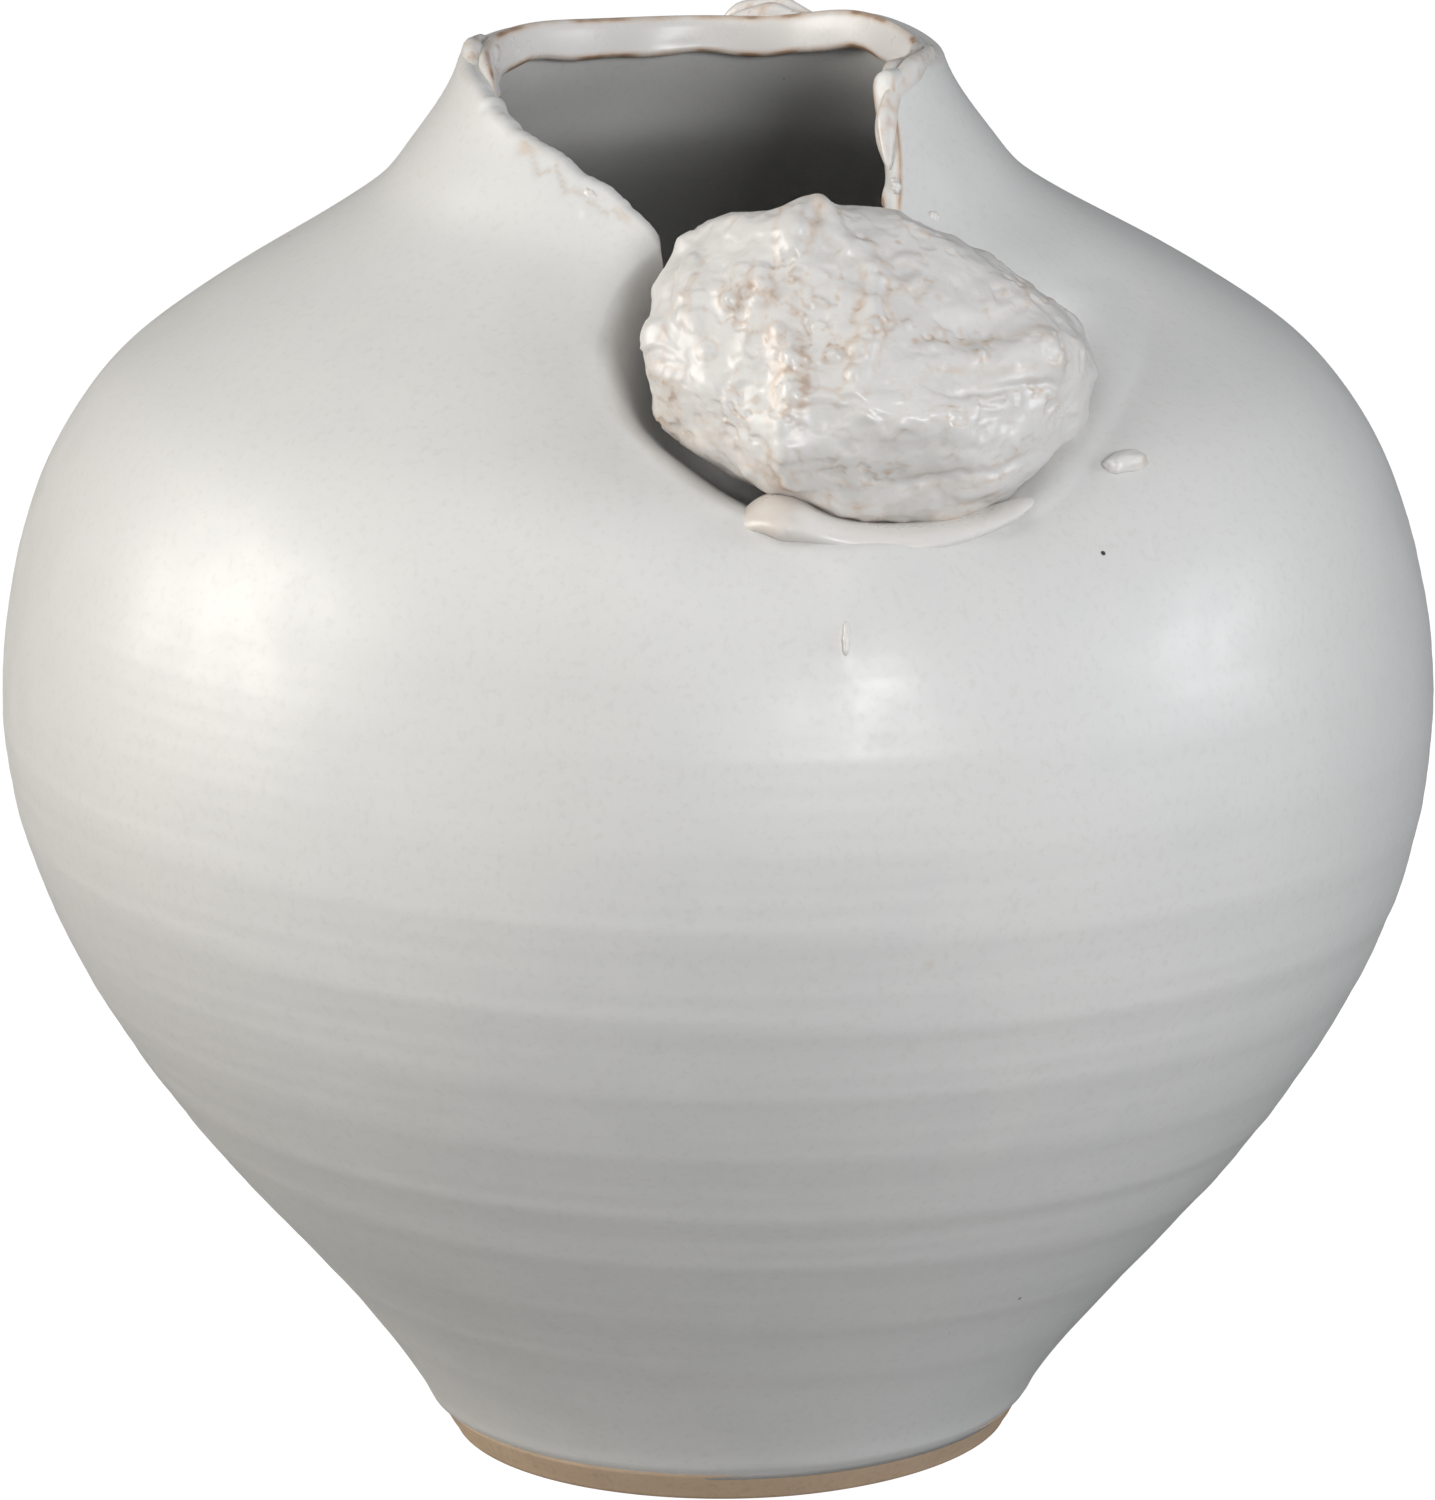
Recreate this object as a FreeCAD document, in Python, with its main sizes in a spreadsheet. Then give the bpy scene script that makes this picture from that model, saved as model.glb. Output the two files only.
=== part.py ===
import FreeCAD, Part

import math
import os

import Sketcher

from FreeCAD import Vector

# A thrown jar with a torn neck and a stone pressed into its shoulder. The origin is at the middle of
# the foot, on the ground. Z is up, and the tear and the stone face -Y.

# Driving sizes in millimetres and angles in degrees: alias, value, meaning
SIZES = (
    ("foot_radius", 56.5, "outside of the foot where it stands"),
    ("foot_flare", 2.8, "how much wider the ring is at the glaze line"),
    ("foot_height", 5.5, "height of the unglazed foot ring"),
    ("foot_width", 11.5, "width of the ring that the jar stands on"),
    ("foot_draft", 1.5, "how far the inside of the foot leans inwards"),
    ("foot_bevel", 0.8, "bevel of the foot's two standing edges"),
    ("wall", 5.5, "thickness of the thrown wall"),
    ("floor_thickness", 7.0, "thickness of the floor"),
    ("flare_rise", 34.5, "from the glaze line up to where the flare above the foot ends"),
    ("flare_reach", 26.2, "how far the outside has flared there, past the glaze line"),
    ("flank_drop", 50.0, "from the belly joint down to the middle of the flank"),
    ("flank_inset", 13.4, "how far the outside has drawn in there, from the belly joint"),
    ("belly_height", 150.0, "height of the joint between the two bowls"),
    ("belly_radius", 143.0, "outside radius at the joint, the widest place"),
    ("shoulder_rise", 106.0, "from the belly joint to the root of the neck"),
    ("neck_root_radius", 64.8, "outside radius at the root of the neck"),
    ("neck_rise", 24.0, "from the root of the neck to the middle of the back rim"),
    ("rim_radius", 47.0, "outside radius of the rim"),
    ("rim_wave", 5.0, "how far the corners of the rim rise above its middle"),
    ("rim_spare", 9.0, "clay above the rim that the rim's line trims off"),
    ("slip_thickness", 1.6, "thickness of the joining slip"),
    ("slip_cover", 1.5, "clay that covers the slip on the outside"),
    ("slip_width", 4.0, "width of the slip under the neck"),
    ("foot_slip_width", 8.0, "width of the slip on the foot ring"),
    ("lip_thickness", 2.6, "how far the rolled lip stands proud of the inside wall"),
    ("lip_height", 8.0, "height of the rolled lip below the middle of the back rim"),
    ("lip_front", 6.0, "how far the rolled lip runs to the front of the neck's middle"),
    ("hollow_across", 30.5, "middle of the hollow, to the right of the jar's middle"),
    ("hollow_drop", 15.0, "from the root of the neck down to the middle of the hollow"),
    ("hollow_half_width", 50.0, "half the width of the hollow"),
    ("hollow_half_drop", 29.0, "from the middle of the hollow down to its sill"),
    ("hollow_half_rise", 18.0, "from the middle of the hollow up to its upper edge"),
    ("hollow_depth", 42.0, "how far the wall is pressed in"),
    ("hollow_deepest", 10.0, "from the jar's middle to where the hollow starts to get shallower"),
    ("tear_apex", 12.0, "how far behind the axis the lines of the tear meet"),
    ("tear_reach", 150.0, "how far in front of the axis the tear is cut"),
    ("tear_drop", 16.0, "from the root of the neck down to the torn edge behind the stone"),
    ("stone_reach", 45.5, "from the middle of the hollow to the left end of the stone"),
    ("stone_length", 88.0, "length of the stone"),
    ("stone_height", 57.5, "height of the stone"),
    ("stone_depth", 70.0, "depth of the stone from front to back"),
    ("stone_sag", 1.0, "from the sill of the hollow down to the lowest place of the stone"),
    ("stone_set_back", 4.9, "from the unpressed wall at the sill back to the stone's front"),
    ("bed_half_width", 25.0, "half the width of the roll of clay that beds the stone"),
    ("bed_radius", 5.0, "radius of the roll at its middle"),
    ("bed_tip_radius", 1.6, "radius of the roll at its ends"),
    ("bed_set_back", 4.0, "from the sill of the hollow back to the middle of the roll"),
    ("bed_lift", 1.5, "from the sill up to the middle of the roll"),
    ("crumb_angle", 41.5, "angle of the crumb, from the front to the right"),
    ("crumb_drop", 35.5, "from the root of the neck down to the crumb"),
    ("crumb_half_length", 5.5, "half the length of the crumb"),
    ("crumb_half_width", 3.2, "half the width of the crumb"),
    ("fold_half_across", 5.4, "half the thickness of a rim fold"),
    ("fold_half_along", 7.5, "half the length of a rim fold"),
    ("fold_half_height", 7.0, "half the height of a rim fold"),
    ("left_fold_angle", -88.0, "angle of the left fold, from the front to the right"),
    ("right_fold_angle", 68.0, "angle of the right fold"),
    ("petal_angle", 165.0, "angle of the petal on the back rim"),
    ("petal_half_length", 10.5, "half the length of the petal"),
    ("petal_half_thickness", 3.0, "half the thickness of the petal"),
    ("petal_half_height", 5.5, "half the height of the petal"),
)

# Profile of the shoulder, chosen by hand: share of its rise, share of its change in radius
SHOULDER_SHARES = (
    (0.0, 1.0), (0.094, 0.997), (0.236, 0.973), (0.377, 0.927), (0.491, 0.863), (0.585, 0.781),
    (0.670, 0.682), (0.745, 0.542), (0.821, 0.389), (0.896, 0.211), (0.962, 0.068), (1.0, 0.0),
)

# Profile of the neck: share of its rise, share of its change in radius
NECK_SHARES = ((0.31, 0.66), (0.70, 0.24), (1.0, 0.03))

# Rows of the wall's surface, closer together around the hollow: share of the shoulder's rise
SHOULDER_ROW_SHARES = (
    0.0, 0.19, 0.34, 0.45, 0.53, 0.58, 0.61, 0.64, 0.67, 0.705, 0.74, 0.78, 0.83, 0.88, 0.94, 1.0,
)
NECK_ROW_SHARES = (0.24, 0.5, 0.75, 1.0)

# Line of the rim seen from the front: share of the rim's radius, share of the rim's wave
RIM_SHARES = (
    (-1.6, 0.35), (-1.0, 0.45), (-0.8, 0.3), (-0.45, 0.08), (0.0, 0.0), (0.4, 0.0),
    (0.65, 0.55), (0.85, 0.6), (1.05, 0.35), (1.6, 0.3),
)

# Torn edge: angle from the front to the right in degrees, share of the height from sill to rim
TEAR_SHARES = (
    (-86.0, 1.1), (-70.0, 1.025), (-56.0, 0.94), (-40.0, 0.84), (-22.8, 0.685), (-13.7, 0.57),
    (-8.4, 0.44), (-6.9, 0.375), (-3.0, 0.175), (4.0, 0.025), (16.0, 0.0), (26.0, 0.075),
    (32.0, 0.275), (36.5, 0.49), (43.0, 0.75), (50.0, 1.025), (52.0, 1.6),
)
TEAR_TOP_SHARE = 2.0

# The stone from left to right: share of its length, its underside, its top, its front, its back
STONE_SHARES = (
    (0.0, 0.46, 0.55, 0.30, 0.44), (0.034, 0.41, 0.68, 0.20, 0.62), (0.09, 0.37, 0.80, 0.13, 0.75),
    (0.21, 0.21, 0.92, 0.04, 0.90), (0.33, 0.11, 0.965, 0.0, 0.97), (0.42, 0.04, 1.0, 0.0, 1.0),
    (0.57, 0.0, 0.95, 0.03, 1.0), (0.69, 0.0, 0.87, 0.10, 0.98), (0.784, 0.06, 0.77, 0.20, 0.93),
    (0.85, 0.15, 0.69, 0.30, 0.88), (0.91, 0.26, 0.61, 0.40, 0.82), (0.966, 0.37, 0.53, 0.50, 0.74),
    (1.0, 0.43, 0.48, 0.58, 0.64),
)

# How far the push into the hollow starts outside its outline and ends inside it, as shares of its size
HOLLOW_EDGE_SHARE = 1.08
HOLLOW_FLOOR_SHARE = 0.62

# The push fades out round the side of the jar, from this share of its radius in front of the axis
HOLLOW_SIDE_SHARE = 0.5

COLUMNS = 72
FRONT_BIAS_SHARE = 0.5
SECTION_POINTS = 16
BED_SECTIONS = 9

doc = FreeCAD.newDocument("TornNeckJar")
sheet = doc.addObject("Spreadsheet::Sheet", "Sizes")
for row, (alias, value, meaning) in enumerate(SIZES, start=1):
    sheet.set(f"A{row}", str(value))
    sheet.set(f"B{row}", meaning)
    sheet.setAlias(f"A{row}", alias)
doc.recompute()


def size(alias):
    """The value of one driving size."""
    return float(sheet.get(alias))


NECK_ROOT_HEIGHT = size("belly_height") + size("shoulder_rise")
RIM_HEIGHT = NECK_ROOT_HEIGHT + size("neck_rise")
HOLLOW_HEIGHT = NECK_ROOT_HEIGHT - size("hollow_drop")
SILL_HEIGHT = HOLLOW_HEIGHT - size("hollow_half_drop")
TEAR_HEIGHT = NECK_ROOT_HEIGHT - size("tear_drop")


def profile_curve():
    """The outside of the shoulder and neck as a curve whose parameter is the height."""
    points = []
    for rise_share, radius_share in SHOULDER_SHARES:
        height = size("belly_height") + size("shoulder_rise") * rise_share
        swell = size("belly_radius") - size("neck_root_radius")
        points.append(Vector(height, size("neck_root_radius") + swell * radius_share, 0))
    for rise_share, radius_share in NECK_SHARES:
        height = NECK_ROOT_HEIGHT + size("neck_rise") * rise_share
        flare = size("neck_root_radius") - size("rim_radius")
        points.append(Vector(height, size("rim_radius") + flare * radius_share, 0))
    points.append(Vector(RIM_HEIGHT + size("rim_spare"), size("rim_radius"), 0))
    curve = Part.BSplineCurve()
    curve.interpolate(Points=points, Parameters=[point.x for point in points])
    return curve


PROFILE = profile_curve()


def wall_radius(height, depth):
    """Radius of the unpressed wall at a height, at a depth below its outside."""
    slope = PROFILE.tangent(height)[0]
    return PROFILE.value(height).y - depth / abs(slope.x)


def push(across, height, depth):
    """How far the wall is pressed in at a place seen from the front."""
    half_width = size("hollow_half_width") + depth
    drop = height - HOLLOW_HEIGHT
    half_height = (size("hollow_half_drop") if drop < 0 else size("hollow_half_rise")) + depth
    reach = math.hypot((across - size("hollow_across")) / half_width, drop / half_height)
    part = (HOLLOW_EDGE_SHARE - reach) / (HOLLOW_EDGE_SHARE - HOLLOW_FLOOR_SHARE)
    part = min(max(part, 0), 1)
    right_end = size("hollow_across") + size("hollow_half_width") * HOLLOW_EDGE_SHARE
    ease = (across - size("hollow_deepest")) / (right_end - size("hollow_deepest"))
    return size("hollow_depth") * part * part * (3 - 2 * part) * (1 - min(max(ease, 0), 1))


def wall_point(angle, height, depth, lift=1):
    """A point of the wall: angle in radians from the front to the right, height and depth."""
    radius = wall_radius(height, depth) * lift
    across = radius * math.sin(angle)
    out = -radius * math.cos(angle)
    side = min(max(math.cos(angle) / HOLLOW_SIDE_SHARE, 0), 1)
    out += push(across, height, depth) * side * side * (3 - 2 * side)
    return Vector(across, out, height)


def row_heights():
    """Heights of the rows of points that carry the wall's surface."""
    rows = [size("belly_height") + size("shoulder_rise") * share for share in SHOULDER_ROW_SHARES]
    top = size("neck_rise") + size("rim_spare")
    return rows + [NECK_ROOT_HEIGHT + top * share for share in NECK_ROW_SHARES]


def wall_face(depth, bottom, top):
    """The wall's surface at a depth, between two heights."""
    rows = row_heights()
    grid = []
    for column in range(COLUMNS):
        turn = 2 * math.pi * column / COLUMNS
        angle = turn - FRONT_BIAS_SHARE * math.sin(turn)
        step = 2 * math.pi / COLUMNS * (1 - FRONT_BIAS_SHARE * math.cos(turn))
        lift = 3 / (2 + math.cos(step))
        curve = Part.BSplineCurve()
        curve.interpolate(
            Points=[wall_point(angle, height, depth, lift) for height in rows], Parameters=rows
        )
        grid.append(curve.getPoles())
    surface = Part.BSplineSurface()
    surface.buildFromPolesMultsKnots(
        grid, [1] * (COLUMNS + 1), curve.getMultiplicities(),
        [float(knot) for knot in range(COLUMNS + 1)], curve.getKnots(), True, False, 3, 3
    )
    return surface.toShape(0, COLUMNS, bottom, top)


def end_wire(face, height):
    """The closed edge of a wall surface at one of its flat ends."""
    edges = [edge for edge in face.Edges if abs(edge.BoundBox.ZMin - height) < Part.Precision.confusion()
             and edge.BoundBox.ZLength < Part.Precision.confusion()]
    return Part.Wire(edges)


def wall_solid(outer_depth, inner_depth, bottom, top):
    """The clay between two depths of the wall and between two heights."""
    outer = wall_face(outer_depth, bottom, top)
    inner = wall_face(inner_depth, bottom, top)
    faces = [outer, inner]
    for height in (bottom, top):
        faces.append(Part.Face([end_wire(outer, height), end_wire(inner, height)]))
    solid = Part.Solid(Part.makeShell(faces))
    tolerance = Part.Precision.confusion()
    solid.fix(tolerance, tolerance, tolerance)
    if solid.Volume < 0:
        solid.reverse()
    return solid


def unit_ball(half_x, half_y, half_z):
    """A rounded lump around the origin, from its three half sizes."""
    matrix = FreeCAD.Matrix()
    matrix.scale(half_x, half_y, half_z)
    return Part.makeSphere(1).transformGeometry(matrix)


def lump_on_wall(angle_alias, height, depth, half_sizes):
    """A lump centred at a depth of the wall, turned to lie along it: half sizes across, along, up."""
    lump = unit_ball(*half_sizes)
    lump.rotate(Vector(), Vector(0, 0, 1), size(angle_alias) - 90)
    lump.translate(wall_point(math.radians(size(angle_alias)), height, depth))
    return lump


def largest_solid(shape):
    """The largest solid of a cut lump, without the crumbs that the cut leaves on the far side."""
    return max(shape.Solids, key=lambda solid: solid.Volume)


def above_rim():
    """Everything above the line of the rim."""
    points = [
        Vector(size("rim_radius") * share, -size("tear_reach"), RIM_HEIGHT + size("rim_wave") * wave)
        for share, wave in RIM_SHARES
    ]
    line = Part.BSplineCurve()
    line.interpolate(points)
    ceiling = RIM_HEIGHT + 2 * size("rim_spare")
    corners = [Vector(points[-1].x, points[-1].y, ceiling), Vector(points[0].x, points[0].y, ceiling)]
    edges = [line.toShape(), Part.makeLine(points[-1], corners[0])]
    edges += [Part.makeLine(corners[0], corners[1]), Part.makeLine(corners[1], points[0])]
    return Part.Face(Part.Wire(edges)).extrude(Vector(0, 2 * size("tear_reach"), 0))


def tear_wedge():
    """The clay torn out of the front: a wedge whose edges meet behind the jar's axis."""
    apex = Vector(0, size("tear_apex"), TEAR_HEIGHT)
    first_angle = TEAR_SHARES[0][0]
    last_angle = TEAR_SHARES[-1][0]
    outline = TEAR_SHARES + ((last_angle, TEAR_TOP_SHARE), (first_angle, TEAR_TOP_SHARE))
    corners = []
    for angle, share in outline:
        height = TEAR_HEIGHT + (RIM_HEIGHT - TEAR_HEIGHT) * share
        radius = wall_radius(min(height, RIM_HEIGHT), 0)
        turn = math.radians(angle)
        place = Vector(radius * math.sin(turn), -radius * math.cos(turn), height)
        line = place - apex
        corners.append(apex + line * ((size("tear_reach") + apex.y) / -line.y))
    faces = [Part.Face(Part.makePolygon(corners + corners[:1]))]
    for corner, following in zip(corners, corners[1:] + corners[:1]):
        faces.append(Part.Face(Part.makePolygon([apex, corner, following, apex])))
    return Part.Solid(Part.makeShell(faces))


def lofted_lump(sections):
    """A lump lofted from left to right through closed sections: across, bottom, top, near, far."""
    wires = []
    for across, bottom, top, near, far in sections:
        points = []
        for step in range(SECTION_POINTS):
            turn = 2 * math.pi * step / SECTION_POINTS
            out = (near + far) / 2 + (far - near) / 2 * math.cos(turn)
            up = (bottom + top) / 2 + (top - bottom) / 2 * math.sin(turn)
            points.append(Vector(across, out, up))
        ring = Part.BSplineCurve()
        ring.interpolate(Points=points, PeriodicFlag=True)
        wires.append(Part.Wire(ring.toShape()))
    return Part.makeLoft(wires, True)


def stone_solid():
    """The stone, from its left end to its right end."""
    left = size("hollow_across") - size("stone_reach")
    bottom = SILL_HEIGHT - size("stone_sag")
    front_place = size("stone_set_back") - wall_radius(SILL_HEIGHT, 0)
    sections = []
    for length_share, low, high, front, back in STONE_SHARES:
        sections.append((
            left + size("stone_length") * length_share,
            bottom + size("stone_height") * low,
            bottom + size("stone_height") * high,
            front_place + size("stone_depth") * front,
            front_place + size("stone_depth") * back,
        ))
    return lofted_lump(sections)


def bed_solid():
    """The roll of clay that follows the sill of the hollow, in front of the stone."""
    sections = []
    for step in range(BED_SECTIONS):
        along = 2 * step / (BED_SECTIONS - 1) - 1
        offset = size("bed_half_width") * along
        drop = math.sqrt(1 - (offset / size("hollow_half_width")) ** 2)
        sill = HOLLOW_HEIGHT - size("hollow_half_drop") * drop
        across = size("hollow_across") + offset
        out = -math.sqrt(wall_radius(sill, 0) ** 2 - across ** 2) + size("bed_set_back")
        swell = size("bed_radius") - size("bed_tip_radius")
        radius = size("bed_tip_radius") + swell * math.sqrt(1 - along * along)
        middle = sill + size("bed_lift")
        sections.append((across, middle - radius, middle + radius, out - radius, out + radius))
    return lofted_lump(sections)


def add_piece(label, shape, seat=None):
    """Keep a free-form solid as an object of the document."""
    piece = doc.addObject("Part::Feature", label)
    piece.Label = label
    piece.Shape = shape
    piece.Placement = FreeCAD.Placement(seat or Vector(), FreeCAD.Rotation())
    return piece


class Outline:
    """A closed sketch outline whose corners are bound to the driving sizes."""

    def __init__(self, body, name):
        self.sketch = body.newObject("Sketcher::SketchObject", name)
        planes = [plane for plane in body.Origin.OriginFeatures if plane.Role == "XZ_Plane"]
        self.sketch.AttachmentSupport = [(planes[0], "")]
        self.sketch.MapMode = "FlatFace"

    def place(self, geometry, end, across, up):
        """Bind one end of a line or arc to expressions of the sheet."""
        for kind, formula in (("DistanceX", across), ("DistanceY", up)):
            if formula is None:
                continue
            value = evaluate(formula)
            if value == 0:
                axis = -2 if kind == "DistanceX" else -1
                self.sketch.addConstraint(Sketcher.Constraint("PointOnObject", geometry, end, axis))
                continue
            index = self.sketch.addConstraint(
                Sketcher.Constraint(kind, -1, 1, geometry, end, value)
            )
            self.sketch.setExpression(f"Constraints[{index}]", formula)

    def line(self, start, finish):
        """A straight line between two pairs of expressions."""
        ends = [Vector(evaluate(across), evaluate(up), 0) for across, up in (start, finish)]
        return self.sketch.addGeometry(Part.LineSegment(*ends), False)

    def join(self, first, first_end, second, second_end, kind="Coincident"):
        """Join two ends."""
        self.sketch.addConstraint(Sketcher.Constraint(kind, first, first_end, second, second_end))


def evaluate(formula):
    """The present value of an expression written in the sheet's aliases."""
    value = sheet.evalExpression(formula.replace("Sizes.", ""))
    return float(getattr(value, "Value", value))


def flowing_arc(start, finish, heading):
    """An arc from start to finish that leaves start along a heading, its centre, and its two ends."""
    side = Vector(-heading.y, heading.x, 0)
    chord = finish - start
    reach = chord.dot(chord) / (2 * chord.dot(side))
    centre = start + side * reach
    circle = Part.Circle(centre, Vector(0, 0, 1), abs(reach))
    first, last = (start, finish) if reach > 0 else (finish, start)
    arc = Part.ArcOfCircle(circle, circle.parameter(first), circle.parameter(last))
    return arc, centre, (1, 2) if reach > 0 else (2, 1)


def add_body(label, seat_formula):
    """A body whose own origin is the seat that it stands on."""
    body = doc.addObject("PartDesign::Body", label)
    body.Label = label
    body.setExpression(".Placement.Base.z", seat_formula)
    return body


def revolve(body, outline, name):
    """Turn a body's outline about the upright axis."""
    turned = body.newObject("PartDesign::Revolution", name)
    turned.Profile = outline.sketch
    turned.ReferenceAxis = (outline.sketch, ["V_Axis"])
    turned.Angle = 360
    outline.sketch.Visibility = False
    return turned


def polygon_body(label, seat_formula, corners):
    """A turned body whose outline is straight lines between corners given as expressions."""
    body = add_body(label, seat_formula)
    outline = Outline(body, label + "_outline")
    sides = [
        outline.line(corner, following)
        for corner, following in zip(corners, corners[1:] + corners[:1])
    ]
    for index, (side, corner) in enumerate(zip(sides, corners)):
        outline.join(sides[index - 1], 2, side, 1)
        outline.place(side, 1, *corner)
    revolve(body, outline, label + "_turned")
    return body


FOOT_LINE_RADIUS = "(Sizes.foot_radius + Sizes.foot_flare)"


def foot_ring():
    """The unglazed ring that the jar stands on, with a bevel on its two standing edges."""
    inside = "(Sizes.foot_radius - Sizes.foot_width)"
    return polygon_body("foot_ring", "0 mm", [
        (f"{inside} + Sizes.foot_bevel", "0"),
        ("Sizes.foot_radius - Sizes.foot_bevel", "0"),
        ("Sizes.foot_radius", "Sizes.foot_bevel"),
        (FOOT_LINE_RADIUS, "Sizes.foot_height"),
        (f"{inside} - Sizes.foot_draft", "Sizes.foot_height"),
        (inside, "Sizes.foot_bevel"),
    ])


FOOT_SLIP_MIDDLE = "(Sizes.foot_radius - Sizes.foot_width / 2)"
FOOT_SLIP_INSIDE = f"{FOOT_SLIP_MIDDLE} - Sizes.foot_slip_width / 2"
FOOT_SLIP_OUTSIDE = f"{FOOT_SLIP_MIDDLE} + Sizes.foot_slip_width / 2"


def foot_slip():
    """The slip between the foot ring and the lower bowl, in a groove of the bowl's underside."""
    return polygon_body("foot_slip", "Sizes.foot_height * 1 mm", [
        (FOOT_SLIP_INSIDE, "0"),
        (FOOT_SLIP_OUTSIDE, "0"),
        (FOOT_SLIP_OUTSIDE, "Sizes.slip_thickness"),
        (FOOT_SLIP_INSIDE, "Sizes.slip_thickness"),
    ])


def belly_slip():
    """The slip between the two bowls, in a rebate that is half in each lip."""
    inside = "Sizes.belly_radius - Sizes.wall"
    outside = "Sizes.belly_radius - Sizes.slip_cover"
    return polygon_body("belly_slip", "(Sizes.belly_height - Sizes.slip_thickness / 2) * 1 mm", [
        (inside, "0"),
        (outside, "0"),
        (outside, "Sizes.slip_thickness"),
        (inside, "Sizes.slip_thickness"),
    ])


def lower_bowl():
    """Floor and wall up to the belly: three arcs that flow into each other, and their parallels."""
    body = add_body("lower_bowl", "Sizes.foot_height * 1 mm")
    outline = Outline(body, "lower_bowl_outline")
    rise = "Sizes.belly_height - Sizes.foot_height"
    low_rise = f"{rise} - Sizes.slip_thickness / 2"
    inside = "Sizes.belly_radius - Sizes.wall"
    cover = "Sizes.belly_radius - Sizes.slip_cover"
    flank = ("Sizes.belly_radius - Sizes.flank_inset", f"{rise} - Sizes.flank_drop")
    flare = (FOOT_LINE_RADIUS + " + Sizes.flare_reach", "Sizes.flare_rise")
    lip = ("Sizes.belly_radius", rise)
    corners = [
        ("0", "0"),
        (FOOT_SLIP_INSIDE, "0"),
        (FOOT_SLIP_INSIDE, "Sizes.slip_thickness"),
        (FOOT_SLIP_OUTSIDE, "Sizes.slip_thickness"),
        (FOOT_SLIP_OUTSIDE, "0"),
        (FOOT_LINE_RADIUS, "0"),
    ]
    under = [outline.line(*ends) for ends in zip(corners, corners[1:])]
    rim_corners = [lip, (cover, rise), (cover, low_rise), (inside, low_rise)]
    over = [outline.line(*ends) for ends in zip(rim_corners, rim_corners[1:])]
    for sides, places in ((under, corners), (over, rim_corners)):
        for index, side in enumerate(sides):
            if index:
                outline.join(sides[index - 1], 2, side, 1)
            outline.place(side, 1, *places[index])
        outline.place(sides[-1], 2, *places[-1])

    def point(place):
        return Vector(evaluate(place[0]), evaluate(place[1]), 0)

    wall = size("wall")
    start = point(lip)
    heading = Vector(0, -1, 0)
    outer = []
    inner = []
    ends = []
    inner_start = Vector(start.x - wall, start.y, 0)
    for finish in (point(flank), point(flare), point(corners[-1])):
        arc, centre, arc_ends = flowing_arc(start, finish, heading)
        outer.append(outline.sketch.addGeometry(arc, False))
        ends.append(arc_ends)
        swing = 1 if arc_ends == (1, 2) else -1
        spoke = finish - centre
        inner_finish = finish + spoke * (swing * wall / spoke.Length)
        heading = Vector(-spoke.y, spoke.x, 0) * swing
        heading.normalize()
        inner_heading = Vector(-(inner_start - centre).y, (inner_start - centre).x, 0) * swing
        inner_arc = flowing_arc(inner_start, inner_finish, inner_heading.normalize())[0]
        inner.append(outline.sketch.addGeometry(inner_arc, False))
        start = finish
        inner_start = inner_finish
    floor = outline.line(("0", "Sizes.floor_thickness"), ("Sizes.foot_radius", "Sizes.floor_thickness"))
    axis = outline.line(("0", "Sizes.floor_thickness"), ("0", "0"))

    for index, finish in enumerate((flank, flare)):
        outline.place(outer[index], ends[index][1], *finish)
    outline.place(outer[0], 3, None, rise)
    for arcs, first, last in ((outer, (over[0], 1), (under[-1], 2)), (inner, (over[-1], 2), (floor, 2))):
        outline.join(arcs[0], ends[0][0], *first)
        for index in (1, 2):
            outline.join(arcs[index], ends[index][0], arcs[index - 1], ends[index - 1][1], "Tangent")
        outline.join(arcs[2], ends[2][1], *last)
    for outer_arc, inner_arc in zip(outer, inner):
        outline.join(outer_arc, 3, inner_arc, 3)
    outline.place(floor, 2, None, "Sizes.floor_thickness")
    outline.place(floor, 1, "0", "Sizes.floor_thickness")
    outline.join(floor, 1, axis, 1)
    outline.join(axis, 2, under[0], 1)
    revolve(body, outline, "lower_bowl_turned")
    return body


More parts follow.
